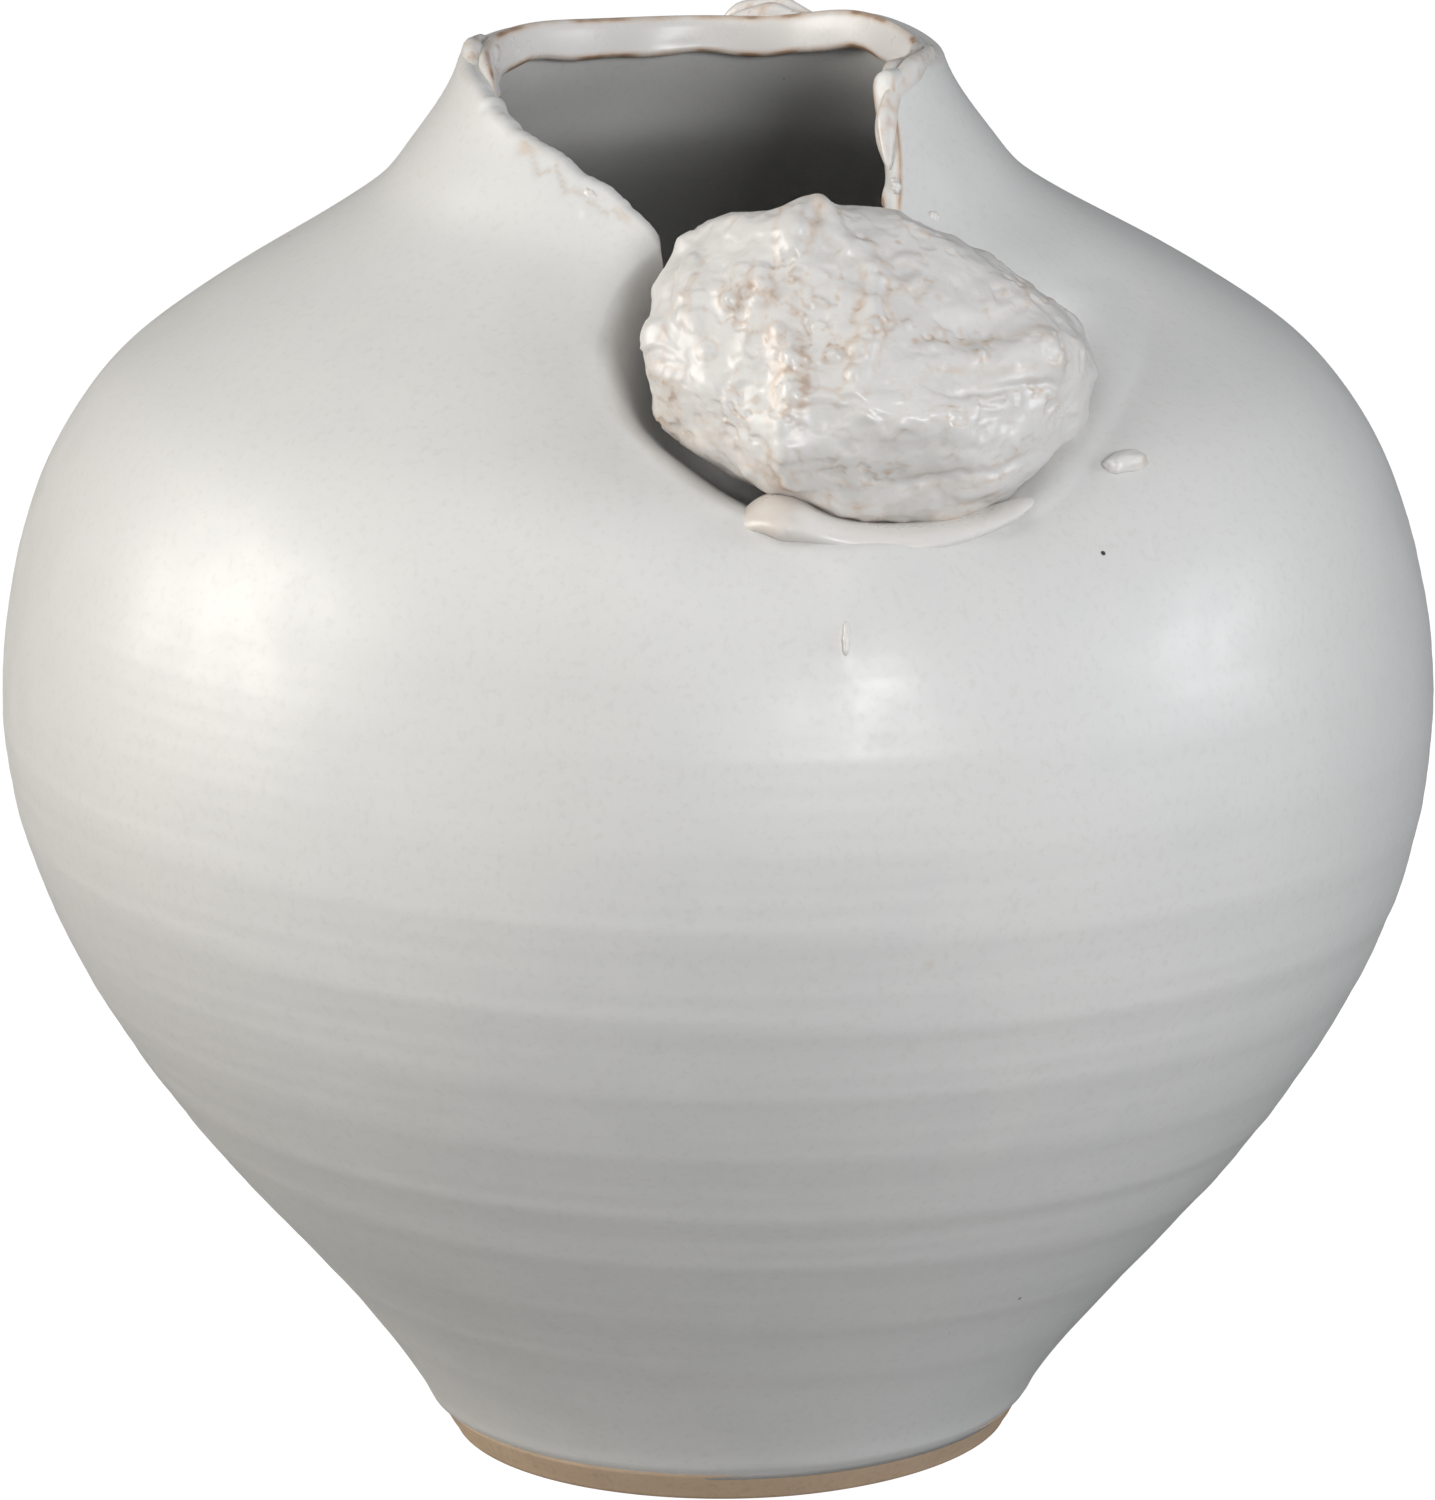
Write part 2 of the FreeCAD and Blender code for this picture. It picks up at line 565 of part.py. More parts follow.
def make_upper_pieces():
    """The pressed and torn upper bowl, the collar, and what is joined to them."""
    wall = size("wall")
    tear = tear_wedge()
    trim = above_rim()
    belly = size("belly_height")
    spare_top = RIM_HEIGHT + size("rim_spare")
    collar_wall = wall_solid(0, wall, NECK_ROOT_HEIGHT, spare_top)
    collar = largest_solid(collar_wall.cut(tear).cut(trim))

    slip_depth = (wall - size("slip_width")) / 2
    slip_bottom = NECK_ROOT_HEIGHT - size("slip_thickness")
    neck_slip = wall_solid(slip_depth, wall - slip_depth, slip_bottom, NECK_ROOT_HEIGHT)
    neck_slip = largest_solid(neck_slip.cut(tear))
    belly_slip_top = Part.makeCylinder(
        size("belly_radius") - size("slip_cover"), size("slip_thickness") / 2, Vector(0, 0, belly)
    )
    bowl = wall_solid(0, wall, belly, NECK_ROOT_HEIGHT).cut(tear)
    bowl = largest_solid(bowl.cut(neck_slip).cut(belly_slip_top))

    lip_inside = wall + size("lip_thickness")
    lip = wall_solid(wall / 2, lip_inside, RIM_HEIGHT - size("lip_height"), spare_top)
    lip = lip.cut(collar_wall)
    reach = size("tear_reach")
    in_front = Part.makeBox(
        2 * reach, reach, RIM_HEIGHT + reach, Vector(-reach, -reach - size("lip_front"), 0)
    )
    lip = largest_solid(lip.cut(in_front).cut(tear).cut(trim))

    rim_top = RIM_HEIGHT + size("rim_wave")
    fold_sizes = (size("fold_half_across"), size("fold_half_along"), size("fold_half_height"))
    folds = {}
    for label, angle_alias in (("rim_fold_left", "left_fold_angle"), ("rim_fold_right", "right_fold_angle")):
        fold = lump_on_wall(angle_alias, rim_top - size("fold_half_height"), wall / 2, fold_sizes)
        folds[label] = largest_solid(fold.cut(collar).cut(lip))

    petal_sizes = (
        size("petal_half_thickness"), size("petal_half_length"), size("petal_half_height")
    )
    petal = lump_on_wall("petal_angle", RIM_HEIGHT, 0, petal_sizes)
    petal = largest_solid(petal.cut(collar).cut(lip))

    crumb_sizes = (
        size("crumb_half_width"), size("crumb_half_length"), size("crumb_half_width")
    )
    crumb_height = NECK_ROOT_HEIGHT - size("crumb_drop")
    crumb = lump_on_wall("crumb_angle", crumb_height, 0, crumb_sizes)
    crumb = largest_solid(crumb.cut(bowl))

    stone = largest_solid(stone_solid().cut(bowl).cut(collar))
    bed = largest_solid(bed_solid().cut(bowl).cut(stone))

    shapes = {
        "upper_bowl": bowl, "neck_slip": neck_slip, "neck_collar": collar, "lip_band": lip,
        **folds, "rim_petal": petal, "stone": stone, "stone_bed": bed, "clay_crumb": crumb,
    }
    return [add_piece(label, shape) for label, shape in shapes.items()]


def check_and_write(pieces):
    """Stop at any failed object, then write each piece to its own file."""
    doc.recompute()
    for item in doc.Objects:
        if any(word in item.State for word in ("Invalid", "Error")):
            raise RuntimeError(f"{item.Label} failed: {item.State}")
    os.makedirs("parts", exist_ok=True)
    for piece in pieces:
        shape = piece.Shape
        if shape.isNull() or not shape.isValid() or len(shape.Solids) != 1:
            raise RuntimeError(f"{piece.Label} has no sound solid")
        print(f"{piece.Label}: {shape.Volume:.0f} cubic mm")
        shape.exportStep(os.path.join("parts", piece.Label + ".step"))


check_and_write([foot_ring(), foot_slip(), lower_bowl(), belly_slip(), *make_upper_pieces()])
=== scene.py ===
"""A thrown jar with a torn neck and a stone pressed into its shoulder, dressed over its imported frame."""

import logging
import math
from dataclasses import dataclass, field
from enum import Enum, IntEnum

import bmesh
import bpy
import numpy as np
from mathutils import Matrix, Vector, noise


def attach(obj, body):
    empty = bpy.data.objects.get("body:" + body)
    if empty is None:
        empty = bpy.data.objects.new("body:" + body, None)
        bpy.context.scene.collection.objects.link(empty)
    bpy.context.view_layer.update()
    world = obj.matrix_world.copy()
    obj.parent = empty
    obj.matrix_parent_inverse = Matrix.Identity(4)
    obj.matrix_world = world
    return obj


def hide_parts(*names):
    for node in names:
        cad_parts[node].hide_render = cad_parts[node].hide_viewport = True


LOG = logging.getLogger("jar")
MM = 0.001
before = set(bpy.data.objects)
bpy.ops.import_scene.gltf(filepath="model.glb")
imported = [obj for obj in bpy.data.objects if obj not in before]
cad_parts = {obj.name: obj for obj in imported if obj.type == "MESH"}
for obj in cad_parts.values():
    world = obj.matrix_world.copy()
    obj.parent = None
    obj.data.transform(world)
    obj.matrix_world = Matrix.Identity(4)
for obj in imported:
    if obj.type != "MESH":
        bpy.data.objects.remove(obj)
Pair = tuple[float, float]
Point = tuple[float, float, float]
Roll = tuple[tuple[Point, ...], float, float]
Pieces = tuple[tuple[bpy.types.Object, "Slot", str | None], ...]


class Slot(Enum):
    """Material slots of the record."""

    SATIN = "satin_glaze"
    GLOSS = "gloss_glaze"
    STONE = "stone_glaze"
    CLAY = "bare_clay"
    SLIP = "slip"


def smooth_step(value: np.ndarray, low: float, high: float) -> np.ndarray:
    """Soft step of an array from 0 at low to 1 at high."""
    part = np.clip((value - low) / (high - low), 0.0, 1.0)
    return part * part * (3.0 - 2.0 * part)


def between(value: np.ndarray, rise: Pair, fall: Pair) -> np.ndarray:
    """Soft window of an array, which opens over one stretch and closes over another."""
    return smooth_step(value, *rise) * (1.0 - smooth_step(value, *fall))


def bell(distance: np.ndarray, width: float | np.ndarray) -> np.ndarray:
    """Soft bump that is 1 in its middle and falls away with distance."""
    return np.exp(-((distance / width) ** 2))


def wrapped(degrees: np.ndarray) -> np.ndarray:
    """Angles in radians, from half a turn left to half a turn right of the front."""
    return (np.radians(degrees) + math.pi) % (2.0 * math.pi) - math.pi


def natural_bends(places: np.ndarray, values: np.ndarray) -> np.ndarray:
    """Second derivatives of the smooth curve through points.

    Args:
        places: rising positions of the points.
        values: value at each position.

    Returns:
        The curve's second derivative at each point.
    """
    count = len(places)
    gaps = np.diff(places)
    slopes = np.diff(values) / gaps
    matrix = np.eye(count)
    right = np.zeros(count)
    for row in range(1, count - 1):
        matrix[row, row - 1] = gaps[row - 1]
        matrix[row, row] = 2.0 * (gaps[row - 1] + gaps[row])
        matrix[row, row + 1] = gaps[row]
        right[row] = 6.0 * (slopes[row] - slopes[row - 1])
    return np.linalg.solve(matrix, right)


@dataclass
class Curve:
    """A smooth curve of one value over another, through given points."""

    points: tuple[Pair, ...]
    places: np.ndarray = field(init=False)
    values: np.ndarray = field(init=False)
    bends: np.ndarray = field(init=False)

    def __post_init__(self) -> None:
        """Work out the bends once."""
        table = np.array(self.points, float)
        self.places, self.values = table[:, 0], table[:, 1]
        self.bends = natural_bends(self.places, self.values)

    def at(self, place: np.ndarray) -> np.ndarray:
        """Value of the curve at places along it.

        Args:
            place: positions along the curve.

        Returns:
            The value at each position.
        """
        place = np.clip(place, self.places[0], self.places[-1])
        row = np.clip(np.searchsorted(self.places, place) - 1, 0, len(self.places) - 2)
        gap = self.places[row + 1] - self.places[row]
        after = (place - self.places[row]) / gap
        before = 1.0 - after
        curl = (before**3 - before) * self.bends[row] + (after**3 - after) * self.bends[row + 1]
        return before * self.values[row] + after * self.values[row + 1] + curl * gap * gap / 6.0


def drawn(*points: Pair) -> Curve:
    """A field of a dataclass that holds the smooth curve through points."""
    return field(default_factory=lambda: Curve(points))


def polar_curve(middle: Pair, points: tuple[Pair, ...], overlap: int = 4) -> Curve:
    """Distance from a middle to a closed outline, over the angle in degrees.

    Args:
        middle: place inside the outline.
        points: the outline's points.
        overlap: how many points repeat past each end, so that the curve closes smoothly.

    Returns:
        The curve.
    """
    rows = []
    for across, up in points:
        aside, above = across - middle[0], up - middle[1]
        rows.append((math.degrees(math.atan2(above, aside)), math.hypot(aside, above)))
    rows.sort()
    before = [(angle - 360.0, reach) for angle, reach in rows[-overlap:]]
    after = [(angle + 360.0, reach) for angle, reach in rows[:overlap]]
    return Curve(tuple(before + rows + after))


@dataclass
class Wall:
    """The thrown wall: its turned profile, the hollow pressed into it, its torn edge and its rings.

    Lengths are in mm. The profile, the rings' count and the lean follow the height, the tear's height follows
    the degrees from the front, the rim's height follows how far across it lies, and the hollow's reach, width
    and dish follow the degrees round its middle. Each lump has its degrees and height, half its width and
    height, and its lift. A pair is the stretch over which something rises or fades.
    """

    profile: Curve = drawn(
        (0.0, 56.5), (5.5, 59.3), (10.0, 62.3), (16.0, 66.3), (25.0, 73.0), (40.0, 85.5), (60.0, 102.8),
        (80.0, 117.6), (100.0, 129.4), (120.0, 137.7), (140.0, 142.2), (150.0, 143.0), (160.0, 142.8),
        (175.0, 140.8), (190.0, 137.0), (202.0, 132.1), (212.0, 125.9), (221.0, 117.9), (229.0, 107.3),
        (237.0, 95.0), (245.0, 81.4), (252.0, 70.2), (256.0, 64.8), (263.0, 58.8), (272.0, 52.3),
        (280.0, 48.2), (289.0, 46.6),
    )
    tear: Curve = drawn(
        (-100.0, 288.0), (-90.0, 284.6), (-80.0, 282.2), (-70.0, 281.0), (-56.0, 277.6), (-47.0, 275.4),
        (-40.0, 273.5), (-33.0, 271.4), (-22.8, 267.4), (-13.7, 262.9), (-9.5, 258.8), (-7.4, 255.0),
        (-5.0, 250.3), (-1.0, 245.2), (4.0, 241.8), (16.0, 240.0), (24.0, 242.5), (30.0, 248.6),
        (36.0, 260.0), (42.0, 268.6), (47.0, 276.0), (52.0, 286.0), (58.0, 298.0),
    )
    rim: Curve = drawn(
        (-1.6, 283.0), (-1.0, 283.2), (-0.85, 283.0), (-0.6, 281.8), (-0.35, 281.0), (0.0, 280.6),
        (0.3, 280.8), (0.5, 282.2), (0.68, 283.6), (0.85, 283.8), (1.05, 282.6), (1.6, 282.5),
    )
    rings: Curve = drawn(
        (5.5, 0.0), (20.0, 1.0), (35.0, 2.0), (48.5, 3.0), (65.0, 4.0), (77.0, 5.0), (92.5, 6.0),
        (107.0, 7.0), (122.5, 8.0), (142.0, 9.0), (158.0, 10.0), (175.5, 11.0), (190.0, 12.0),
        (206.0, 13.0), (222.0, 14.0), (240.0, 15.0), (290.0, 18.0),
    )
    hollow_middle: Pair = (32.0, 238.0)
    hollow_outline: tuple[Pair, ...] = (
        (84.0, 238.0), (76.0, 244.0), (63.0, 246.0), (50.0, 249.0), (40.0, 251.5), (25.0, 256.0),
        (5.0, 258.5), (-13.0, 256.0), (-20.0, 250.0), (-23.0, 242.0), (-21.5, 235.0), (-14.5, 228.5),
        (-5.5, 222.5), (3.0, 218.5), (11.0, 215.6), (20.0, 212.6), (32.0, 211.0), (44.0, 211.3),
        (56.0, 213.8), (68.0, 219.0), (78.0, 228.0),
    )
    hollow_width: Curve = drawn(
        (-210.0, 16.0), (-180.0, 21.0), (-165.0, 21.0), (-150.0, 20.0), (-135.0, 20.0), (-120.0, 19.0),
        (-105.0, 15.0), (-90.0, 13.0), (-60.0, 13.0), (-30.0, 22.0), (0.0, 28.0), (30.0, 22.0), (60.0, 13.0),
        (90.0, 12.0), (120.0, 12.0), (150.0, 16.0), (180.0, 21.0), (195.0, 21.0), (210.0, 20.0),
    )
    dish: Curve = drawn(
        (-210.0, 0.8), (-180.0, 1.0), (-150.0, 1.0), (-120.0, 0.8), (-100.0, 0.35), (-80.0, 0.4),
        (-50.0, 1.1), (-30.0, 1.3), (0.0, 1.1), (20.0, 0.7), (40.0, 0.3), (60.0, 0.0), (90.0, 0.0),
        (120.0, 0.0), (150.0, 0.4), (165.0, 0.8), (180.0, 1.0), (210.0, 1.0),
    )
    dish_depth: float = 5.4
    dish_fade: float = 18.0
    press: float = math.radians(32.0)
    lean: Curve = drawn(
        (-10.0, 0.6), (0.0, 0.7), (16.0, 0.9), (30.0, 1.6), (45.0, 2.0), (62.0, 2.0), (80.0, 1.8),
        (100.0, 1.4), (120.0, 0.9), (138.0, 0.2), (150.0, 0.0), (165.0, -0.1), (190.0, -0.4), (212.0, -0.6),
        (228.0, -1.0), (240.0, -1.3), (252.0, -1.9), (268.0, -2.0), (290.0, -1.9),
    )
    lumps: tuple[tuple[float, float, float, float, float], ...] = (
        (10.2, 196.4, 1.5, 3.6, 0.5), (-58.4, 276.6, 1.2, 1.0, -0.5), (-30.0, 249.0, 7.0, 5.0, 0.35),
        (-13.0, 255.0, 5.0, 8.0, 0.5), (38.0, 264.0, 1.6, 2.2, 0.7), (35.4, 261.6, 1.4, 1.8, 0.6),
        (52.0, 262.0, 7.0, 9.0, 0.5), (-9.5, 228.0, 0.9, 4.0, -0.25), (-6.5, 222.5, 0.9, 3.6, -0.25),
        (-24.0, 262.0, 1.0, 1.2, 0.4), (60.0, 246.0, 9.0, 6.0, 0.4), (-50.0, 262.0, 9.0, 7.0, 0.45),
    )
    ring_turns: int = 2
    ring_swell: float = 0.1
    ring_rise: Pair = (12.0, 40.0)
    ring_ease: Pair = (125.0, 175.0)
    ring_fade: Pair = (188.0, 212.0)
    comb_depth: float = 0.025
    comb_spacing: float = 4.6
    comb_rise: Pair = (15.0, 40.0)
    comb_fade: Pair = (180.0, 215.0)
    sway: float = 0.2
    bow: float = 0.14
    push_side: Pair = (0.0, 0.5)
    push_fade: Pair = (262.0, 284.0)
    lean_side: Pair = (0.3, 0.95)
    flake_depth: float = 0.55
    flake_tall: float = 5.0
    flake_uneven: float = 3.0
    flake_soft: float = 1.6
    flake_rise: Pair = (-46.0, -38.0)
    flake_fall: Pair = (-20.0, -13.0)
    nibble_reach: Pair = (-100.0, 60.0)
    nibble_waves: tuple[Point, ...] = ((0.7, 0.16, 3.0), (0.3, 0.45, 8.0), (0.14, 1.1, 5.0))
    nibble_rise: Pair = (-75.0, -60.0)
    nibble_fall: Pair = (20.0, 32.0)
    above_rim: float = 400.0
    rim_spread: float = 1.03
    corner_soft: float = 0.7
    thickness: float = 5.5
    hollow_depth: float = 42.0
    hollow_deepest: float = 14.0
    hollow_end: float = 86.0
    hollow: Curve = field(init=False)
    nibbles: tuple[np.ndarray, np.ndarray] = field(init=False)

    def __post_init__(self) -> None:
        """Turn the hollow's outline into a curve round its middle, and work out the tear's unevenness."""
        self.hollow = polar_curve(self.hollow_middle, self.hollow_outline)
        places = np.linspace(*self.nibble_reach, 641)
        rough = np.zeros(len(places))
        for tall, pace, seed in self.nibble_waves:
            rough += [tall * noise.noise(Vector((place * pace, seed, 0.0))) for place in places.tolist()]
        self.nibbles = (places, rough)

    def push(self, across: np.ndarray, height: np.ndarray) -> np.ndarray:
        """How far the wall is pressed in.

        Args:
            across: how far right of the middle a place lies, in mm.
            height: height in mm.

        Returns:
            The depth in mm.
        """
        aside, above = across - self.hollow_middle[0], height - self.hollow_middle[1]
        turn = np.degrees(np.arctan2(above, aside))
        inside = self.hollow.at(turn) - np.hypot(aside, above)
        part = smooth_step(inside / self.hollow_width.at(turn), 0.0, 1.0)
        ease = (across - self.hollow_deepest) / (self.hollow_end - self.hollow_deepest)
        wide = self.dish_depth * self.dish.at(turn) * np.exp(-np.maximum(-inside, 0.0) / self.dish_fade)
        return self.hollow_depth * part * (1.0 - np.clip(ease, 0.0, 1.0)) + wide

    def relief(self, angle: np.ndarray, height: np.ndarray) -> np.ndarray:
        """Throwing rings, comb marks and slow unevenness of the outside.

        Args:
            angle: angle in radians from the front to the right.
            height: height in mm.

        Returns:
            How far the outside is lifted, in mm.
        """
        phase = 2.0 * math.pi * self.rings.at(height) + self.ring_turns * angle
        swell = self.ring_swell * between(height, self.ring_rise, self.ring_fade)
        swell = swell * (1.0 - 0.6 * smooth_step(height, *self.ring_ease))
        swell = swell * (1.0 + 0.4 * np.sin(2.0 * angle + 0.9) + 0.4 * np.sin(0.11 * height + angle))
        ridge = np.cos(phase) + 0.3 * np.cos(2.0 * phase + 0.7 + angle)
        ridge = ridge + 0.15 * np.cos(3.0 * phase + 2.0 * angle)
        comb = self.comb_depth * np.cos(2.0 * math.pi * height / self.comb_spacing + 3.0 * angle)
        comb = comb * between(height, self.comb_rise, self.comb_fade)
        slow = self.sway * np.sin(angle + 0.4) * np.sin(height / 31.0)
        slow = slow + self.bow * np.sin(3.0 * angle + height / 47.0)
        return swell * ridge + comb + slow + self.flaws(np.degrees(angle), height)

    def flake(self, degrees: np.ndarray, height: np.ndarray) -> np.ndarray:
        """The flaked strip along the left of the tear.

        Args:
            degrees: angle in degrees from the front to the right.
            height: height in mm.

        Returns:
            How far a place lies in the strip, from 0 to 1.
        """
        below = self.tear.at(degrees) - height
        border = self.flake_tall + self.flake_uneven * np.interp(degrees * 1.7 + 40.0, *self.nibbles)
        stretch = between(degrees, self.flake_rise, self.flake_fall)
        return stretch * between(below, (-4.0, 1.0), (border - self.flake_soft, border))

    def flaws(self, degrees: np.ndarray, height: np.ndarray) -> np.ndarray:
        """Flaked edge, lumps, scratches and a glaze run on the outside.

        Args:
            degrees: angle in degrees from the front to the right.
            height: height in mm.

        Returns:
            How far the outside is lifted, in mm.
        """
        deep = -self.flake_depth * self.flake(degrees, height)
        for place, high, wide, tall, lift in self.lumps:
            aside = (degrees - place) * np.radians(self.profile.at(high))
            deep = deep + lift * np.exp(-((aside / wide) ** 2 + ((height - high) / tall) ** 2))
        return deep

    def shift(self, angle: np.ndarray, height: np.ndarray) -> np.ndarray:
        """How far the jar's left and right sides stand aside because it leans, in mm."""
        return self.lean.at(height) * smooth_step(np.abs(np.sin(angle)), *self.lean_side)

    def skin(self, angle: np.ndarray, height: np.ndarray) -> np.ndarray:
        """The outside of the wall.

        Args:
            angle: angle in radians from the front to the right.
            height: height in mm.

        Returns:
            The points in mm.
        """
        radius = self.profile.at(height) + self.relief(angle, height)
        across = radius * np.sin(angle) + self.shift(angle, height)
        push = self.push(across, height) * smooth_step(np.cos(angle), *self.push_side)
        push = push * (1.0 - smooth_step(height, *self.push_fade))
        out = -radius * np.cos(angle) + push * math.cos(self.press)
        return np.stack(np.broadcast_arrays(across, out, height - push * math.sin(self.press)), -1)

    def frame(self, angle: np.ndarray, height: np.ndarray) -> tuple[np.ndarray, np.ndarray, np.ndarray]:
        """The outside and its directions.

        Args:
            angle: angle in radians from the front towards the right.
            height: height in mm.

        Returns:
            The points in mm, the outward directions, and the directions up along the wall.
        """
        turn, rise = 0.004, 0.4
        aside = self.skin(angle + turn, height) - self.skin(angle - turn, height)
        upward = self.skin(angle, height + rise) - self.skin(angle, height - rise)
        out = np.cross(aside, upward)
        out /= np.linalg.norm(out, axis=-1)[..., None]
        upward /= np.linalg.norm(upward, axis=-1)[..., None]
        return self.skin(angle, height), out, upward

    def point(self, angle: np.ndarray, height: np.ndarray, depth: np.ndarray,
              lift: np.ndarray | float = 0.0) -> np.ndarray:
        """Points of the wall in metres.

        Args:
            angle: angle in radians from the front towards the right.
            height: height in mm.
            depth: depth in mm below the outside.
            lift: distance in mm up along the wall.

        Returns:
            An array of points.
        """
        place, out, upward = self.frame(angle, height)
        depth, lift = np.broadcast_arrays(np.asarray(depth, float), np.asarray(lift, float))
        return (place - out * depth[..., None] + upward * lift[..., None]) * MM

    def top(self, angle: np.ndarray) -> np.ndarray:
        """Height of the rim or of the torn edge.

        Args:
            angle: angle in radians from the front to the right.

        Returns:
            The height in mm.
        """
        degrees = np.degrees(angle)
        ragged = np.interp(degrees, *self.nibbles) * between(degrees, self.nibble_rise, self.nibble_fall)
        open_side = (degrees > self.tear.places[0]) & (degrees < self.tear.places[-1])
        torn = np.where(open_side, self.tear.at(degrees) + ragged, self.above_rim)
        whole = self.rim.at(np.sin(angle) * self.rim_spread)
        low, soft = np.minimum(torn, whole), self.corner_soft
        return low - soft * np.log(np.exp((low - torn) / soft) + np.exp((low - whole) / soft))


WALL = Wall()


def place_verts(bm: bmesh.types.BMesh, points: np.ndarray) -> None:
    """Move the vertices of a bmesh to points in metres, in their own order."""
    for vert, point in zip(bm.verts, points.tolist()):
        vert.co = point


def read_all(rows: bpy.types.bpy_prop_collection, name: str, width: int,
             kind: type = np.float32) -> np.ndarray:
    """Read a value of each row of a mesh.

    Args:
        rows: the mesh's vertices, corners or faces, or the data of an attribute.
        name: name of the value.
        width: how many numbers it has.
        kind: kind of number.

    Returns:
        An array with a row for each, or a flat one where the value is a single number.
    """
    values = np.empty(len(rows) * width, kind)
    rows.foreach_get(name, values)
    return values.reshape(-1, width) if width > 1 else values


def wear_and_shade_layer(mesh: bpy.types.Mesh, values: np.ndarray) -> None:
    """Keep how far the glaze breaks to the clay at each vertex, from 0 to 1; on the stone it also carries
    painted shade.
    """
    layer = mesh.attributes.new("wear_and_shade", "FLOAT", "POINT")
    layer.data.foreach_set("value", np.clip(values, 0.0, 1.0).astype(np.float32))


def fill_openings(bm: bmesh.types.BMesh) -> list[bmesh.types.BMFace]:
    """Close the open ends of a mesh, and return the faces that close them."""
    open_edges = [edge for edge in bm.edges if edge.is_boundary]
    return bmesh.ops.holes_fill(bm, edges=open_edges, sides=0)["faces"]


def mesh_piece(name: str, bm: bmesh.types.BMesh) -> bpy.types.Object:
    """Turn a finished bmesh into an object at the origin.

    Args:
        name: name of the piece.
        bm: the mesh, which is freed.

    Returns:
        The new object, shaded smooth.
    """
    mesh = bpy.data.meshes.new(name)
    bm.to_mesh(mesh)
    bm.free()
    mesh.polygons.foreach_set("use_smooth", [True] * len(mesh.polygons))
    piece = bpy.data.objects.new(name, mesh)
    bpy.context.scene.collection.objects.link(piece)
    return piece


@dataclass
class Grid:
    """A sheet of rows and columns, to be moved into shape and closed on itself."""

    rows: int
    columns: int
    loop: bool = False
    mesh: bpy.types.Mesh = field(init=False)
    row: np.ndarray = field(init=False)
    column: np.ndarray = field(init=False)

    def __post_init__(self) -> None:
        """Lay out the flat sheet and note each vertex's row and column."""
        steps = self.rows if self.loop else self.rows - 1
        bm = bmesh.new()
        bmesh.ops.create_grid(bm, x_segments=steps, y_segments=self.columns, size=1.0)
        self.mesh = bpy.data.meshes.new("sheet")
        bm.to_mesh(self.mesh)
        bm.free()
        places = (read_all(self.mesh.vertices, "co", 3).astype(float) + 1.0) / 2.0
        self.row = np.rint(places[:, 0] * steps).astype(int) % self.rows
        self.column = np.rint(places[:, 1] * self.columns).astype(int)

    @property
    def turn(self) -> np.ndarray:
        """Angle of each vertex on a sheet that closes behind, in radians from the front."""
        return 2.0 * math.pi * (self.column % self.columns) / self.columns - math.pi

    def moved(self, points: np.ndarray, wear_and_shade: np.ndarray | None = None) -> bmesh.types.BMesh:
        """Move the sheet and close it where its edges meet.

        Args:
            points: place of each vertex in metres.
            wear_and_shade: how far the glaze breaks at each vertex.

        Returns:
            The closed sheet.
        """
        self.mesh.vertices.foreach_set("co", points.astype(np.float32).ravel())
        if wear_and_shade is not None:
            wear_and_shade_layer(self.mesh, wear_and_shade)
        bm = bmesh.new()
        bm.from_mesh(self.mesh)
        bpy.data.meshes.remove(self.mesh)
        bmesh.ops.remove_doubles(bm, verts=bm.verts[:], dist=1e-6)
        bmesh.ops.recalc_face_normals(bm, faces=bm.faces[:])
        if bm.calc_volume(signed=True) < 0.0:
            bmesh.ops.reverse_faces(bm, faces=bm.faces[:])
        return bm


class SubAssembly:
    """A sub-assembly of the jar, which builds its pieces and dresses them."""

    def build(self) -> Pieces:
        """Build the pieces, each with its slot and the node that it stands for."""
        raise NotImplementedError

    def dress(self, finishes: dict[Slot, bpy.types.Material]) -> None:
        """Build the pieces, give each its finish and its body, and hide the node that it stands for.

        Args:
            finishes: the material of each slot.
        """
        for piece, slot, node in self.build():
            piece.data.materials.append(finishes[slot])
            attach(piece, "root")
            if node:
                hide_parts(node)
            LOG.info("%s: %d faces", piece.name, len(piece.data.polygons))


class Row(IntEnum):
    """Where a row of the lower bowl's sheet lies."""

    MIDDLE = 0
    UNDERSIDE = 1
    OUTSIDE = 2
    INSIDE = 3
    FLOOR = 4


def front_bias(turn: np.ndarray) -> np.ndarray:
    """Angles that crowd the columns towards the front."""
    return turn - 0.5 * np.sin(turn)


def glaze_line(angle: np.ndarray) -> np.ndarray:
    """Height in mm where the glaze ends above the foot."""
    return 7.3 + 0.25 * np.sin(angle + 0.6) + 0.18 * np.sin(5.0 * angle + 1.0) + 0.1 * np.sin(13.0 * angle)


